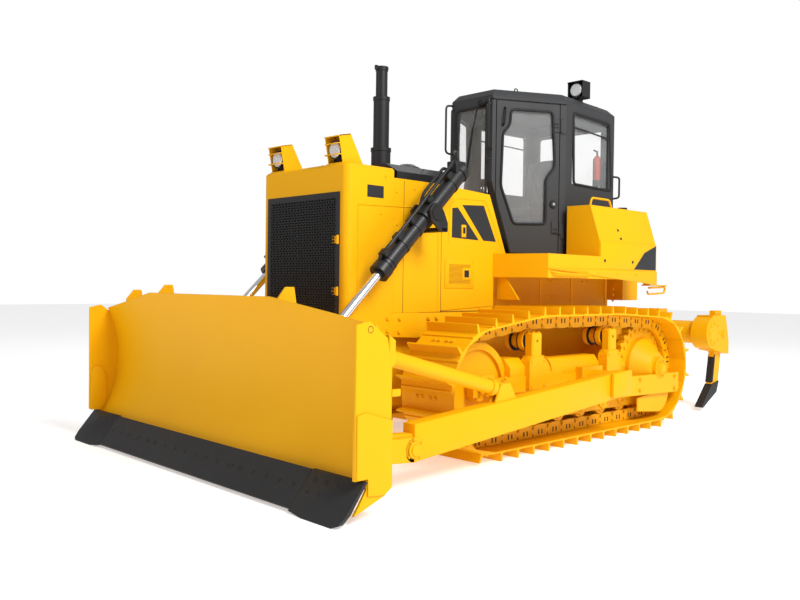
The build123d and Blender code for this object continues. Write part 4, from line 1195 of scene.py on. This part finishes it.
def trackLinks():
    pitch = beltPitch()
    outline = [(-pitch * 0.48, -0.010), (-pitch * 0.40, -0.052), (-pitch * 0.12, -0.062),
               (pitch * 0.20, -0.062),
               (pitch * 0.38, -0.048), (pitch * 0.44, -0.010), (pitch * 0.44, 0.044), (-pitch * 0.48, 0.044)]
    turn = Matrix.Rotation(math.pi / 2, 4, "Y")
    for side in (1, -1):
        middle = side * tracks["x"]
        offset = tracks["linkFace"]
        face = middle + side * (offset + 0.006)
        bodies = alongBelt(middle + offset, (0, 0, 0)) + alongBelt(middle - offset, (0, 0, 0))
        finishPiece(repeated("links", addPlate("link", outline, 0, -0.007, 0.007), bodies))
        # dark marks laid on the link faces: painted shade of the slots in the links
        slot = addBox("linkSlotShade", (-0.0026, -0.008, -0.020), (0.0026, 0.008, 0.022))
        slots = alongBelt(face, (0, -0.028, 0.004), (0, 0.020, 0.004))
        finishPiece(repeated("linkSlotShades", slot, slots), slot="dark_plastic")
        gap = addBox("linkGap", (-0.001, -0.0028, -0.052), (0.001, 0.0028, 0.044))
        finishPiece(repeated("linkGaps", gap, alongBelt(face, (0, pitch * 0.485, 0))), slot="dark_plastic")
        pin = addRound("linkPin", (0, 0, -0.004), (0, 0, 0.004), 0.022, 14)
        pins = [matrix @ turn for matrix in alongBelt(face, (0, pitch * 0.5 - 0.016, 0.0))]
        finishPiece(repeated("linkPins", pin, pins))


def shoeDetails():
    level = tracks["seat"] + tracks["plate"]
    for side in (1, -1):
        middle = side * tracks["x"]
        bolts = alongBelt(middle, *((x, -0.030, level) for x in tracks["shoeBolts"]))
        finishPiece(repeated("shoeBolts", hexBolt(0.015, 0.016), bolts))
        lip = addBox("shoeLip", (-0.279, -0.012, -0.010), (0.279, 0.012, 0.006), 0.003, 1)
        finishPiece(repeated("shoeLips", lip, alongBelt(middle, (0, 0.018 - beltPitch() * 0.5, level))))


def idlerDetails():
    y, z, _ = tracks["idler"]
    for side in (1, -1):
        boss = addRound("idlerBoss", (side * 1.060, y, z), (side * 1.120, y, z), 0.120, 36, 0.100)
        finishPiece(joinPieces("idlerRim", [boss]))
        places = [(side * tracks["yoke"], y + dy, z + dz) for dy in (-0.06, 0.08, 0.24)
                  for dz in (-0.02, 0.08)]
        boltsAt("yokeBolts", places, (side, 0, 0), 0.015, 0.014)
        finishPiece(
            addBox("yokeCap", *onSide(side, (1.188, -1.340, 0.600), (1.204, -1.170, 0.710)), 0.006, 2))


def recoilDetails():
    pinZ = tracks["pinHeight"] - tracks["carrierRadius"]
    arch = [math.pi * step / 12 for step in range(13)]
    for side in (1, -1):
        bands = []
        for y in tracks["bands"]:
            path = [(side * tracks["x"] + 0.128 * math.cos(a), y, 0.680 + 0.128 * math.sin(a)) for a in arch]
            bands.append(addTube("recoilBand", path, 0.007, 8))
        finishPiece(joinPieces("recoilBands", bands))
        boltsAt(
            "beamBolts", [(side * 1.125, y, 0.560) for y in tracks["beamBolts"]], (side, 0, 0), 0.015, 0.013)
        for y in tracks["carriers"]:
            spots = [(side * 1.200, y + dy, z) for dy in (-0.09, 0.09) for z in (0.57, 0.79)]
            boltsAt("bracketBolts", spots, (side, 0, 0), 0.014, 0.012)
            top = [(side * 1.15 + dx, y + dy, 1.034) for dx in (-0.022, 0.022) for dy in (-0.038, 0.038)]
            boltsAt("postBolts", top, (0, 0, 1), 0.010, 0.010)
            plug = addRound("oilPlug", *onSide(side, (1.184, y, pinZ), (1.192, y, pinZ)), 0.014, 16)
            finishPiece(plug, "root", "dark_plastic", extinguisherRed)
            rings = [addRound("sealRing", *onSide(side, (x0, y, pinZ), (x1, y, pinZ)), radius, 32, tip)
                     for x0, x1, radius, tip in tracks["seals"]]
            finishPiece(joinPieces("sealRings", rings), slot="dark_plastic")


guards = {
    "x": 1.128,
    "thick": 0.012,
    "first": -0.80,
    "pitch": 0.352,
    "rollers": 6,
    "rear": (1.215, 1.232),
    "rearCorner": (1.48, 0.36, 0.20, 0.21),
}


def rollerGuards():
    # plates with a scalloped lower edge over the roller hubs, and the guard under the sprocket
    centres = [guards["first"] + guards["pitch"] * index for index in range(guards["rollers"])]
    outline = [(-0.86, 0.452)]
    for y in centres:
        outline += [(y - 0.09, 0.285), (y - 0.05, 0.262), (y + 0.05, 0.262), (y + 0.09, 0.285)]
        if y != centres[-1]:
            outline += [(y + 0.13, 0.335), (y + guards["pitch"] - 0.13, 0.335)]
    outline.append((1.11, 0.452))
    y, z, reach, drop = guards["rearCorner"]
    arc = [math.radians(-90 + 90 * step / 6) for step in range(7)]
    bend = [(y + reach * math.cos(a), z + drop * math.sin(a)) for a in arc]
    rear = [(1.06, 0.33), (1.06, 0.19), *bend, (1.68, 0.372)]
    for side in (1, -1):
        x = side * guards["x"]
        outer = x + side * guards["thick"]
        finishPiece(addPlate("rollerGuard", outline, 0, x, outer, 0.002, 1))
        places = [(outer, y + dy, 0.30) for y in centres for dy in (-0.04, 0.04)]
        boltsAt("guardBolts", places, (side, 0, 0), 0.012, 0.011)
        low, high = guards["rear"]
        finishPiece(addPlate("rearGuard", rear, 0, side * low, side * high, 0.003, 1))


def driveDetails():
    y, z, _ = tracks["sprocket"]
    carrier = ((0.70, 0.53), (0.70, 0.41), (1.02, 0.52), (1.02, 0.41), (1.72, 0.51), (1.72, 0.38))
    for side in (1, -1):
        normal = (side, 0, 0)
        boltsAt("hubBolts", ringPlaces(side * 1.280, y, z, 0.088, evenAngles(12)), normal, 0.011, 0.012)
        boltsAt("sprocketBolts", ringPlaces(side * 1.038, y, z, 0.385, evenAngles(27)), normal, 0.015, 0.014)
        boltsAt("coverBolts", ringPlaces(side * 1.080, y, z, 0.285, evenAngles(24)), normal, 0.010, 0.010)
        boltsAt("carrierBolts", [(side * 1.282, *spot) for spot in carrier], normal, 0.015, 0.014)
        finishPiece(addRound("hubCap", (side * 1.296, y, z), (side * 1.312, y, z), 0.050, 32, 0.042))


# ripper: pins and shank guards

ripper = {
    "beam": (3.000, 0.917),
    "shanks": (-1.000, 0.000, 1.000),
    "pin": (3.240, 0.897),
    "guard": ((3.082, 0.318), (3.134, 0.575), (3.145, 0.650), (3.165, 0.650), (3.160, 0.575), (3.120, 0.322)),
}


def ripperDetails():
    pins, collars, guardPlates = [], [], []
    for x in ripper["shanks"]:
        pins.append(addRound("shankPin", (x - 0.118, *ripper["pin"]), (x + 0.118, *ripper["pin"]), 0.032, 20))
        collars.append(
            addRound("pinRing", (x - 0.108, *ripper["pin"]), (x + 0.108, *ripper["pin"]), 0.052, 24))
        guardPlates.append(addPlate("shankGuard", ripper["guard"], 0, x - 0.042, x + 0.042, 0.006, 2))
    finishPiece(joinPieces("shankGuards", guardPlates), "ripper_tool", "edge_steel")
    finishPiece(joinPieces("shankPins", pins + collars), "ripper_tool")
    y, z = ripper["beam"]
    for sign in (1, -1):
        disc = addRound("beamDisc", *onSide(sign, (1.090, y, z), (1.1065, y, z)), 0.150, 40, 0.146)
        finishPiece(disc, "ripper_tool")
        places = ringPlaces(sign * 1.1055, y, z, 0.115, evenAngles(8))
        boltsAt("discBolts", places, (sign, 0, 0), 0.012, 0.010, "ripper_tool")


# sheets with cut-outs, and forms that the solids keep plainer

def roundedLoop(points, radius):
    middle = [(a + b) / 2 for a, b in zip(points[0], points[1])]
    rounded = roundedPath([(x, y, 0) for x, y in (middle, *points[1:], points[0], middle)], radius, 5)
    return [(p.x, p.y) for p in rounded[:-1]]


def holedPlate(name, loops, thickness, place):
    # a flat sheet: the first loop is its edge and the others are holes
    flat = [[(x, y, 0) for x, y in loop] for loop in loops]
    piece = curvePiece(name, flat, True, dimensions="2D", fill_mode="BOTH", extrude=thickness / 2)
    piece.data.transform(place)
    return smoothed(facedOut(piece, 0.0001), 30)


def wallMatrix(start, end, out):
    # local X runs along the wall, Y upwards and Z outwards
    origin = Vector(wallPoint(start, end, 0, 0, out))
    along = (Vector(wallPoint(start, end, 1, 0, out)) - origin).normalized()
    outward = wallNormal(start, end)
    return Matrix((
        (along.x, 0, outward.x, origin.x),
        (along.y, 0, outward.y, origin.y),
        (0, 1, 0, 0),
        (0, 0, 0, 1)))


door = {
    "outline": ((0.072, 1.772), (0.590, 1.772), (0.758, 2.332), (0.758, 3.278), (0.072, 3.278)),
    "thick": 0.040,
    "levels": (2.036, 3.062),
}


def cabDoors():
    front, middle, thick = cab["front"], cab["middle"], door["thick"]
    window = roundedLoop(cab["doorWindow"], 0.045)
    panel = holedPlate("doorSheet", [door["outline"], window], thick, wallMatrix(middle, front, -thick / 2))
    pane = holedPlate("doorPane", [window], 0.006, wallMatrix(middle, front, -0.022))
    parts = []
    for level in door["levels"]:
        x, y, _ = doorPoint(0.062, level, 0.016)
        low, high = level - 0.062, level + 0.062
        parts.append(addRound("knuckle", (x, y, low), (x, y, high), 0.0125, 16))
        parts.append(wallPlate("hingeLeaf", middle, front, rectangle(0.070, 0.150, low, high), 0.0, 0.010))
    doorPair(panel, "cab_paint", node="cab_door_")
    doorPair(pane, "glass", node="door_glass_")
    doorPair(joinPieces("doorHinges", parts), "cab_paint")


def quarterSills():
    # the wall under the quarter window, which reaches lower in the solids
    sill = wallPlate("quarterSill", cab["middle"], cab["rear"], cab["sill"], -0.044, -0.0005, 0.0)
    mirrorPair(sill, slot="cab_paint")


exhaust = {
    "y": -1.370,
    "steps": ((0.088, 2.4603, 2.670), (0.072, 2.670, 3.130), (0.053, 3.130, 3.400)),
}


def exhaustPipe():
    y = exhaust["y"]
    parts = []
    for radius, low, high in exhaust["steps"]:
        parts.append(addRound("pipe", (0, y, low), (0, y, high), radius, 48))
        parts.append(addRound("pipeBand", (0, y, high - 0.030), (0, y, high + 0.002), radius + 0.005, 48))
    parts.append(addRound("foot", (0, y, 2.4603), (0, y, 2.485), 0.105, 48))
    parts.append(addRound("lip", (0, y, 3.385), (0, y, 3.405), 0.060, 48))
    parts.append(addBox("flapTab", (-0.012, y - 0.082, 3.370), (0.012, y - 0.050, 3.412), 0.004, 1))
    pipe = joinPieces("exhaustPipe", parts)
    finishPiece(pipe, slot="black_paint")
    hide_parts("exhaust_stack")


lamps = {
    "x": 0.390,
    "z": 2.512,
    "side": ((-2.220, 2.4003), (-2.260, 2.612), (-2.258, 2.620), (-2.140, 2.645), (-2.000, 2.4003)),
    "top": ((-2.268, 2.608), (-2.268, 2.617), (-2.140, 2.645), (-2.138, 2.636)),
    "back": ((-2.140, 2.645), (-2.000, 2.4003), (-2.012, 2.4003), (-2.148, 2.637)),
    "bars": (2.470, 2.556),
    "roofX": 0.520,
    "roofZ": 3.512,
    "roofLevels": (3.425, 3.600),
    "roofDepth": (0.913, 1.053),
}


def hoodLampHousings():
    shells = []
    for sign in (1, -1):
        x = sign * lamps["x"]
        for aside in (-0.092, 0.084):
            shells.append(addPlate("lampSide", lamps["side"], 0, x + aside, x + aside + 0.008, 0.002, 1))
        shells.append(addPlate("lampTop", lamps["top"], 0, x - 0.092, x + 0.092, 0.001, 1))
        shells.append(addPlate("lampBack", lamps["back"], 0, x - 0.086, x + 0.086))
    housing = joinPieces("lampHousings", shells)
    finishPiece(housing)
    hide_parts("hood_lamps")
    z = lamps["z"]
    for sign in (1, -1):
        x = sign * lamps["x"]
        back = addBox("lampBack", (x - 0.080, -2.168, 2.425), (x + 0.080, -2.158, 2.600))
        pot = addRound("lampPot", (x, -2.165, z), (x, -2.228, z), 0.050, 36, 0.074)
        finishPiece(joinPieces("lampPots", [back, pot]), slot="dark_plastic")
        finishPiece(
            addRound("lampGlass", (x, -2.222, z), (x, -2.238, z), 0.069, 36, 0.058), "root", "glass", lens)
        bars = []
        for level in lamps["bars"]:
            corners = ((-0.090, -2.232), (-0.086, -2.266), (0.086, -2.266), (0.090, -2.232))
            bars.append(addTube("lampBar", [(x + aside, y, level) for aside, y in corners], 0.005, 8, 0.012))
        finishPiece(joinPieces("lampBars", bars))
        finishPiece(addBox("lampFoot", (x - 0.100, -2.232, 2.3995), (x + 0.100, -1.985, 2.408), 0.002, 1))


def cabLampHousings():
    low, high = lamps["roofLevels"]
    front, rear = lamps["roofDepth"]
    z = lamps["roofZ"]
    boxes = (
        ("lampTop", -0.095, 0.095, front - 0.012, rear, high - 0.008, high, 0.002),
        ("lampFloor", -0.095, 0.095, front, rear, low, low + 0.008, 0.002),
        ("lampSide", -0.095, -0.087, front, rear, low, high, 0.002),
        ("lampSide", 0.087, 0.095, front, rear, low, high, 0.002),
        ("lampRear", -0.090, 0.090, rear - 0.045, rear - 0.008, low, high - 0.004, 0.002),
        ("lampFoot", -0.030, 0.030, front + 0.045, front + 0.105, 3.330, low + 0.004, 0.003))
    shells = []
    for x in (lamps["roofX"], -lamps["roofX"]):
        for name, x0, x1, y0, y1, z0, z1, bevel in boxes:
            shells.append(addBox(name, (x + x0, y0, z0), (x + x1, y1, z1), bevel, 1))
        shells.append(addRound("lampPot", (x, 1.008, z), (x, 0.930, z), 0.050, 36, 0.077))
    housing = joinPieces("roofLamps", shells)
    finishPiece(housing, slot="black_paint")
    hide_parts("cab_lamps")
    for x in (lamps["roofX"], -lamps["roofX"]):
        finishPiece(
            addRound("roofLampGlass", (x, 0.934, z), (x, 0.920, z), 0.072, 36, 0.062), "root", "glass", lens)


bladeEnds = {
    "plate": ((-3.255, 0.262), (-3.1644, 0.262), (-3.1644, 0.195), (-3.262, 0.052), (-3.010, 0.140),
              (-2.960, 0.187),
              (-2.960, 0.920), (-3.000, 1.110), (-3.150, 1.219), (-3.255, 1.195)),
    "foot": ((-3.249, 0.266), (-3.160, 0.266), (-3.160, 0.160), (-3.020, 0.148), (-2.960, 0.187),
             (-2.960, 0.602),
             (-3.177, 0.667), (-3.249, 0.655)),
    "inner": 1.8423,
    "outer": 1.864,
}


def bladeEndPlates():
    inner, outer = bladeEnds["inner"], bladeEnds["outer"]
    plate = joinPieces("endPlates", [
        addPlate("endPlate", bladeEnds["plate"], 0, inner, outer, 0.003, 1),
        addPlate("endFoot", bladeEnds["foot"], 0, outer - 0.001, outer + 0.012, 0.003, 1)])
    both = joinPieces("endPlates", [plate, mirrored(plate)])
    finishPiece(both, "blade")
    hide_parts("end_plates")


ears = {
    "places": ((0.830, 1.412), (-0.890, 1.412), (-1.460, 1.362)),
    "thick": 0.022,
}


def bladeEars():
    found = []
    for x, top in ears["places"]:
        outline = [
            (-3.092, top - 0.085), (-3.020, top), (-2.950, top), (-2.894, 1.085), (-2.963, 1.000),
            (-3.020, 1.100)]
        found.append(addPlate("bladeEar", outline, 0, x - ears["thick"] / 2, x + ears["thick"] / 2, 0.003, 1))
    finishPiece(joinPieces("bladeEars", found), "blade")


edge = {
    "half": 1.842,
    "bit": 0.470,
    "overhang": 0.040,
    "gap": 0.016,
    "back": -3.165,
    "top": 0.252,
    "front": -3.191,
    "slope": 0.199 / 0.240,
}


def edgeFront(z):
    return edge["front"] - (edge["top"] - z) * edge["slope"]


def cuttingEdge():
    gap, back, top = edge["gap"], edge["back"], edge["top"]
    start = edge["half"] - edge["bit"]
    outer = edge["half"] + edge["overhang"]
    section = [(back, 0.230), (edge["front"], top), (-3.374, 0.028), (-3.360, gap), (-3.329, gap),
               (back, 0.195)]
    centre = addPlate("centreEdge", section, 0, -start, start, 0.003, 1)
    shape = [(start + 0.002, gap), (start + 0.15, 0.001), (outer - 0.07, 0.001), (outer - 0.02, 0.020),
             (outer, 0.075),
             (outer, top), (start + 0.002, top)]
    bit = addPrism(
        "endBit", [(x, edgeFront(z), z) for x, z in shape],
        [(x, min(edgeFront(z) + 0.026 + (top - z) * 0.08, back), z) for x, z in shape], 0.003)
    whole = joinPieces("cuttingEdge", [centre, bit, mirrored(bit)])
    finishPiece(whole, "blade", "edge_steel")
    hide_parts("cutting_edge")


drive = {
    "centre": (1.430, 0.608),
    "steps": ((0.4503, 0.830, 0.250, 0.250), (0.820, 1.080, 0.300, 0.300), (0.962, 1.038, 0.3577, 0.3577),
              (1.080, 1.240, 0.300, 0.150), (1.240, 1.280, 0.112, 0.112), (1.280, 1.298, 0.067, 0.060)),
    "carrierPlate": ((0.610, 0.372), (1.780, 0.340), (1.815, 0.375), (1.815, 0.548), (0.610, 0.566)),
}


def finalDrives():
    y, z = drive["centre"]
    for side, node in ((1, "final_drive_left"), (-1, "final_drive_right")):
        whole = joinPieces("finalDrive", [
            addRound("driveStep", (side * x0, y, z), (side * x1, y, z), first, 64, last)
            for x0, x1, first, last in drive["steps"]])
        finishPiece(whole)
        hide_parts(node)
        plate = addPlate("hubCarrier", drive["carrierPlate"], 0, side * 1.252, side * 1.276, 0.004, 1)
        foot = addBox(
            "hubLink", (side * 1.190 - 0.075, 0.640, 0.385), (side * 1.190 + 0.075, 0.880, 0.560), 0.004, 1)
        finishPiece(joinPieces("hubCarrier", [plate, foot]))


frameTop = {
    "covers": ((-0.900, -0.690, 0.150, 0.815), (-0.470, 0.520, 0.118, 0.785), (0.755, 1.000, 0.118, 0.745)),
    "base": 0.630,
    "bracketFoot": ((-0.115, 0.540), (0.115, 0.540), (0.115, 0.790), (0.075, 0.832), (-0.075, 0.832),
                    (-0.115, 0.790)),
    "bracketNeck": ((-0.072, 0.820), (0.072, 0.820), (0.050, 0.880), (0.066, 1.022), (0.050, 1.034),
                    (-0.050, 1.034),
                    (-0.066, 1.022), (-0.050, 0.880)),
}


def recoilCovers():
    base = frameTop["base"]
    for side in (1, -1):
        x = side * tracks["x"]
        parts = []
        for y0, y1, half, top in frameTop["covers"]:
            outline = [(x - half, base), (x + half, base), (x + half, top - 0.075), (x + half * 0.55, top),
                       (x - half * 0.55, top), (x - half, top - 0.075)]
            parts.append(addPlate("recoilCover", outline, 1, y0, y1, 0.008, 2))
        for centre in tracks["carriers"]:
            for name, inner, outer in (("bracketFoot", 1.095, 1.205), ("bracketNeck", 1.105, 1.192)):
                outline = [(centre + y, z) for y, z in frameTop[name]]
                parts.append(addPlate(name, outline, 0, side * inner, side * outer, 0.005, 1))
        finishPiece(joinPieces("recoilCovers", parts))


yokes = {
    "ear": ((-1.600, 1.975), (-1.612, 2.060), (-1.560, 2.112), (-1.490, 2.108), (-1.440, 2.040),
            (-1.398, 1.955),
            (-1.398, 1.882), (-1.482, 1.882)),
    "middle": 0.105,
}


def trunnionYokes():
    found = []
    for side in (1, -1):
        for sign in (1, -1):
            x = side * lift["x"] + sign * yokes["middle"]
            found.append(addPlate("yokeEar", yokes["ear"], 0, x - 0.014, x + 0.014, 0.005, 2))
        found.append(
            addBox("yokeWeb", *onSide(side, (0.5705, -1.480, 1.880), (0.869, -1.400, 1.916)), 0.004, 1))
    whole = joinPieces("trunnionYokes", found)
    finishPiece(whole, slot="black_paint")
    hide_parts("cylinder_yokes")


arms = {
    "x": (1.382, 1.502),
    "nose": (-2.400, 0.290),
    "outline": ((-2.393, 0.200), (0.385, 0.436), (0.400, 0.450), (0.400, 0.655), (0.385, 0.668),
                (-2.393, 0.467)),
    "lug": ((-1.520, 0.480), (-1.200, 0.490), (-1.300, 0.660), (-1.320, 0.676), (-1.410, 0.676),
            (-1.430, 0.660)),
    "braceRear": (-1.370, 0.618),
    "braceFront": (-2.780, 0.985),
    "braceRadius": 0.056,
    "web": ((-2.8134, 0.230), (-2.392, 0.215), (-2.392, 0.400), (-2.8134, 0.430)),
    "rearCheek": ((0.110, 0.440), (0.412, 0.446), (0.420, 0.456), (0.420, 0.668), (0.410, 0.678),
                  (0.110, 0.660)),
}


def pushArms():
    # box arms with round noses and paired lugs for the braces
    low, high = arms["x"]
    middle = (low + high) / 2
    y, z = arms["nose"]
    cheek = [(-2.8134, 0.235), (y, z - 0.088), (y, z + 0.088), (-2.8134, 0.395)]
    parts = [
        addPlate("armBox", arms["outline"], 0, low, high, 0.006, 2),
        addPlate("armWeb", arms["web"], 0, low + 0.020, high - 0.020, 0.004, 1),
        addRound("armNose", (low + 0.008, y, z), (high + 0.008, y, z), 0.088, 48),
        addPlate("noseCheek", cheek, 0, high - 0.021, high + 0.008, 0.003, 1)]
    for x in (middle - 0.0405, middle + 0.0205):
        parts.append(addPlate("armLug", arms["lug"], 0, x, x + 0.020, 0.003, 1))
    arm = joinPieces("pushArm", parts)
    for piece, node in ((arm, "push_arm_left"), (mirrored(arm), "push_arm_right")):
        finishPiece(piece, "blade")
        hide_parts(node)


def bladeBraces():
    x = sum(arms["x"]) / 2
    rear = Vector((x, *arms["braceRear"]))
    front = Vector((x, *arms["braceFront"]))
    along = (front - rear).normalized()
    near = rear + along * 0.12
    far = front - along * 0.10
    radius = arms["braceRadius"]
    half = Vector((0.020, 0, 0))
    up = Vector((0, -along.z, along.y)) * 0.046
    parts = [addRound("braceTube", near, far, radius, 40),
             addRing("braceBand", near, near + along * 0.05, radius - 0.004, radius + 0.009, 40)]
    for eye, reach in ((rear, near + along * 0.01), (front, far - along * 0.01)):
        parts.append(addRound("braceEye", eye - half, eye + half, 0.054, 36))
        corners = [(p.y, p.z) for p in (eye + up, reach + up, reach - up, eye - up)]
        parts.append(addPlate("braceNeck", corners, 0, x - 0.019, x + 0.019))
    brace = joinPieces("bladeBrace", parts)
    both = joinPieces("bladeBraces", [brace, mirrored(brace)])
    finishPiece(both, "blade")
    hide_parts("blade_braces")


def trunnionCheeks():
    # a plain cover over each arm's trunnion
    outer = arms["x"][1]
    mirrorPair(addPlate("armCheek", arms["rearCheek"], 0, outer + 0.003, outer + 0.036, 0.005, 2))


backBeams = {
    "lower": ((-2.9637, 0.170), (-2.814, 0.200), (-2.814, 0.440), (-2.9637, 0.480)),
    "upper": ((-2.9637, 0.900), (-2.9037, 0.940), (-2.9037, 1.090), (-2.9637, 1.130)),
    "ear": ((-2.9637, 0.900), (-2.735, 0.925), (-2.716, 0.950), (-2.716, 1.010), (-2.735, 1.035),
            (-2.9637, 1.120)),
    "reach": 1.640,
}


def bladeBackBeams():
    reach = backBeams["reach"]
    parts = [addPlate("lowerBeam", backBeams["lower"], 0, -reach, reach, 0.006, 1),
             addPlate("upperBeam", backBeams["upper"], 0, -1.838, 1.838, 0.006, 1)]
    for middle in (1.442, -1.442):
        for x in (middle + 0.0303, middle - 0.0303):
            parts.append(addPlate("braceClevis", backBeams["ear"], 0, x - 0.010, x + 0.010, 0.002, 1))
    beams = joinPieces("backBeams", parts)
    finishPiece(beams, "blade")
    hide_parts("blade_back")


roof = {
    "plan": ((0.270, -0.130), (0.644, 0.583), (0.572, 1.602)),
    "levels": ((0.000, 3.3203), (0.000, 3.328), (0.062, 3.395)),
}


def cabRoof():
    (x0, y0), (x1, y1), (x2, y2) = roof["plan"]
    points = []
    for inset, level in roof["levels"]:
        half = [(x0 - inset * 0.6, y0 + inset), (x1 - inset, y1), (x2 - inset, y2 - inset)]
        points += [(x, y, level) for x, y in half + [(-x, y) for x, y in reversed(half)]]
    faces = [list(range(6)), list(range(12, 18))]
    for row in (0, 6):
        faces += [[row + i, row + (i + 1) % 6, row + 6 + (i + 1) % 6, row + 6 + i] for i in range(6)]
    shell = bevelPiece(smoothed(facedOut(rawMesh("cabRoof", points, faces)), 20), 0.006, 2, 15)
    finishPiece(shell, slot="cab_paint")
    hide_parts("cab_roof")


def hoodDome():
    base, shoulder, top = ((0.150, -1.180, level) for level in (2.440, 2.500, 2.530))
    dome = [addRound("filterDome", base, shoulder, 0.130, 40, 0.118),
            addRound("filterDome", shoulder, top, 0.118, 40, 0.060)]
    finishPiece(joinPieces("filterDome", dome), slot="black_paint")


def fenderGussets():
    outline = [(0.572, 1.310), (0.840, 1.310), (0.620, 1.590), (0.572, 1.590)]
    mirrorPair(addPlate("fenderGusset", outline, 1, -0.392, -0.376, 0.003, 1))


def runAll(steps):
    for step in steps:
        step()
        print(step.__name__)


runAll((
    hoodSidePanel, hoodSeams, guardSkirt, ratingPlate, hoodTopTrim, hoodLampHousings, grilleLattice,
    consolePanels, accessDoor, exhaustPipe, platformLip, tankFittings, fenderWallDetails, cabSeals, cabDoors,
    quarterSills, doorFittings, cabRails, roofFittings, cabLampHousings, seatPads, cabInside, plowBolts,
    bladeGussets, endPlateDetails, bladeEndPlates, bladeEars, cuttingEdge, liftCylinders, trunnionYokes,
    trackLinks, shoeDetails, idlerDetails, recoilDetails, recoilCovers, rollerGuards, driveDetails,
    finalDrives, pushArms, bladeBraces, trunnionCheeks, bladeBackBeams, cabRoof, hoodDome, fenderGussets,
    ripperDetails))


# stage, light and camera

camera = {
    "place": (5.564, -6.475, 1.436),
    "azimuth": 46.011,
    "down": 1.0403,
    "roll": 0.756,
    "focalPixels": 829.4,
    "imageWidth": 800,
    "sensor": 36.0,
}


def addCamera():
    turn = math.radians(camera["azimuth"])
    dip = math.radians(camera["down"])
    roll = math.radians(camera["roll"])
    back = Vector((math.sin(turn) * math.cos(dip), -math.cos(turn) * math.cos(dip), math.sin(dip)))
    right = (-back).cross(Vector((0, 0, 1))).normalized()
    up = right.cross(-back)
    rolledRight = right * math.cos(roll) + up * math.sin(roll)
    rolledUp = up * math.cos(roll) - right * math.sin(roll)
    data = bpy.data.cameras.new("view")
    data.sensor_width = camera["sensor"]
    data.lens = camera["focalPixels"] / camera["imageWidth"] * camera["sensor"]
    data.clip_end = 200
    eye = linked("view", data)
    eye.matrix_world = Matrix((
        (rolledRight.x, rolledUp.x, back.x, camera["place"][0]),
        (rolledRight.y, rolledUp.y, back.y, camera["place"][1]),
        (rolledRight.z, rolledUp.z, back.z, camera["place"][2]),
        (0, 0, 0, 1)))
    bpy.context.scene.camera = eye


studio = {
    "floorSize": 90,
    "floorGlow": 0.42,
    "ambient": 0.47,
    "lamps": (
        ("key", (10.0, -2.0, 9.5), (0.2, -0.2, 1.4), (5, 5), 1500),
        ("front", (-3.0, -12.0, 5.0), (0, -1, 1.2), (8, 5), 90),
        ("rim", (-9.0, 8.0, 8.0), (0, 0, 1.5), (7, 6), 150)),
}


def addStage():
    clearSelection()
    bpy.ops.mesh.primitive_plane_add(size=studio["floorSize"], location=(0, 0, -0.001))
    floor = bpy.context.active_object
    floor.name = "floor"
    finish = Finish("paleFloor")
    cloud = finish.noise(0.6, 2.0)
    color = finish.blendColors(cloud, gray(0.90), gray(0.92))
    values = {
        "Base Color": color, "Roughness": 0.8, "Emission Color": gray(1.0),
        "Emission Strength": studio["floorGlow"]}
    floor.data.materials.append(finish.surface(values))


def addAreaLight(name, place, target, size, power):
    data = bpy.data.lights.new(name, "AREA")
    data.shape = "RECTANGLE"
    data.size, data.size_y = size
    data.energy = power
    lamp = linked(name, data)
    lamp.location = place
    lamp.rotation_euler = (Vector(target) - Vector(place)).to_track_quat("-Z", "Y").to_euler()


def addLight():
    world = bpy.data.worlds.new("studio")
    world.use_nodes = True
    nodes = world.node_tree.nodes
    background = nodes["Background"]
    backdrop = nodes.new("ShaderNodeBackground")
    for node, strength in ((background, studio["ambient"]), (backdrop, 1.0)):
        node.inputs["Color"].default_value = gray(1.0)
        node.inputs["Strength"].default_value = strength
    path = nodes.new("ShaderNodeLightPath")
    mix = nodes.new("ShaderNodeMixShader")
    links = world.node_tree.links
    links.new(path.outputs["Is Camera Ray"], mix.inputs[0])
    links.new(background.outputs[0], mix.inputs[1])
    links.new(backdrop.outputs[0], mix.inputs[2])
    links.new(mix.outputs[0], nodes["World Output"].inputs["Surface"])
    bpy.context.scene.world = world
    for lamp in studio["lamps"]:
        addAreaLight(*lamp)
    bpy.context.scene.view_settings.view_transform = "Standard"
    bpy.context.scene.view_settings.look = "None"


addCamera()
addStage()
addLight()
print("stage, light and camera set")
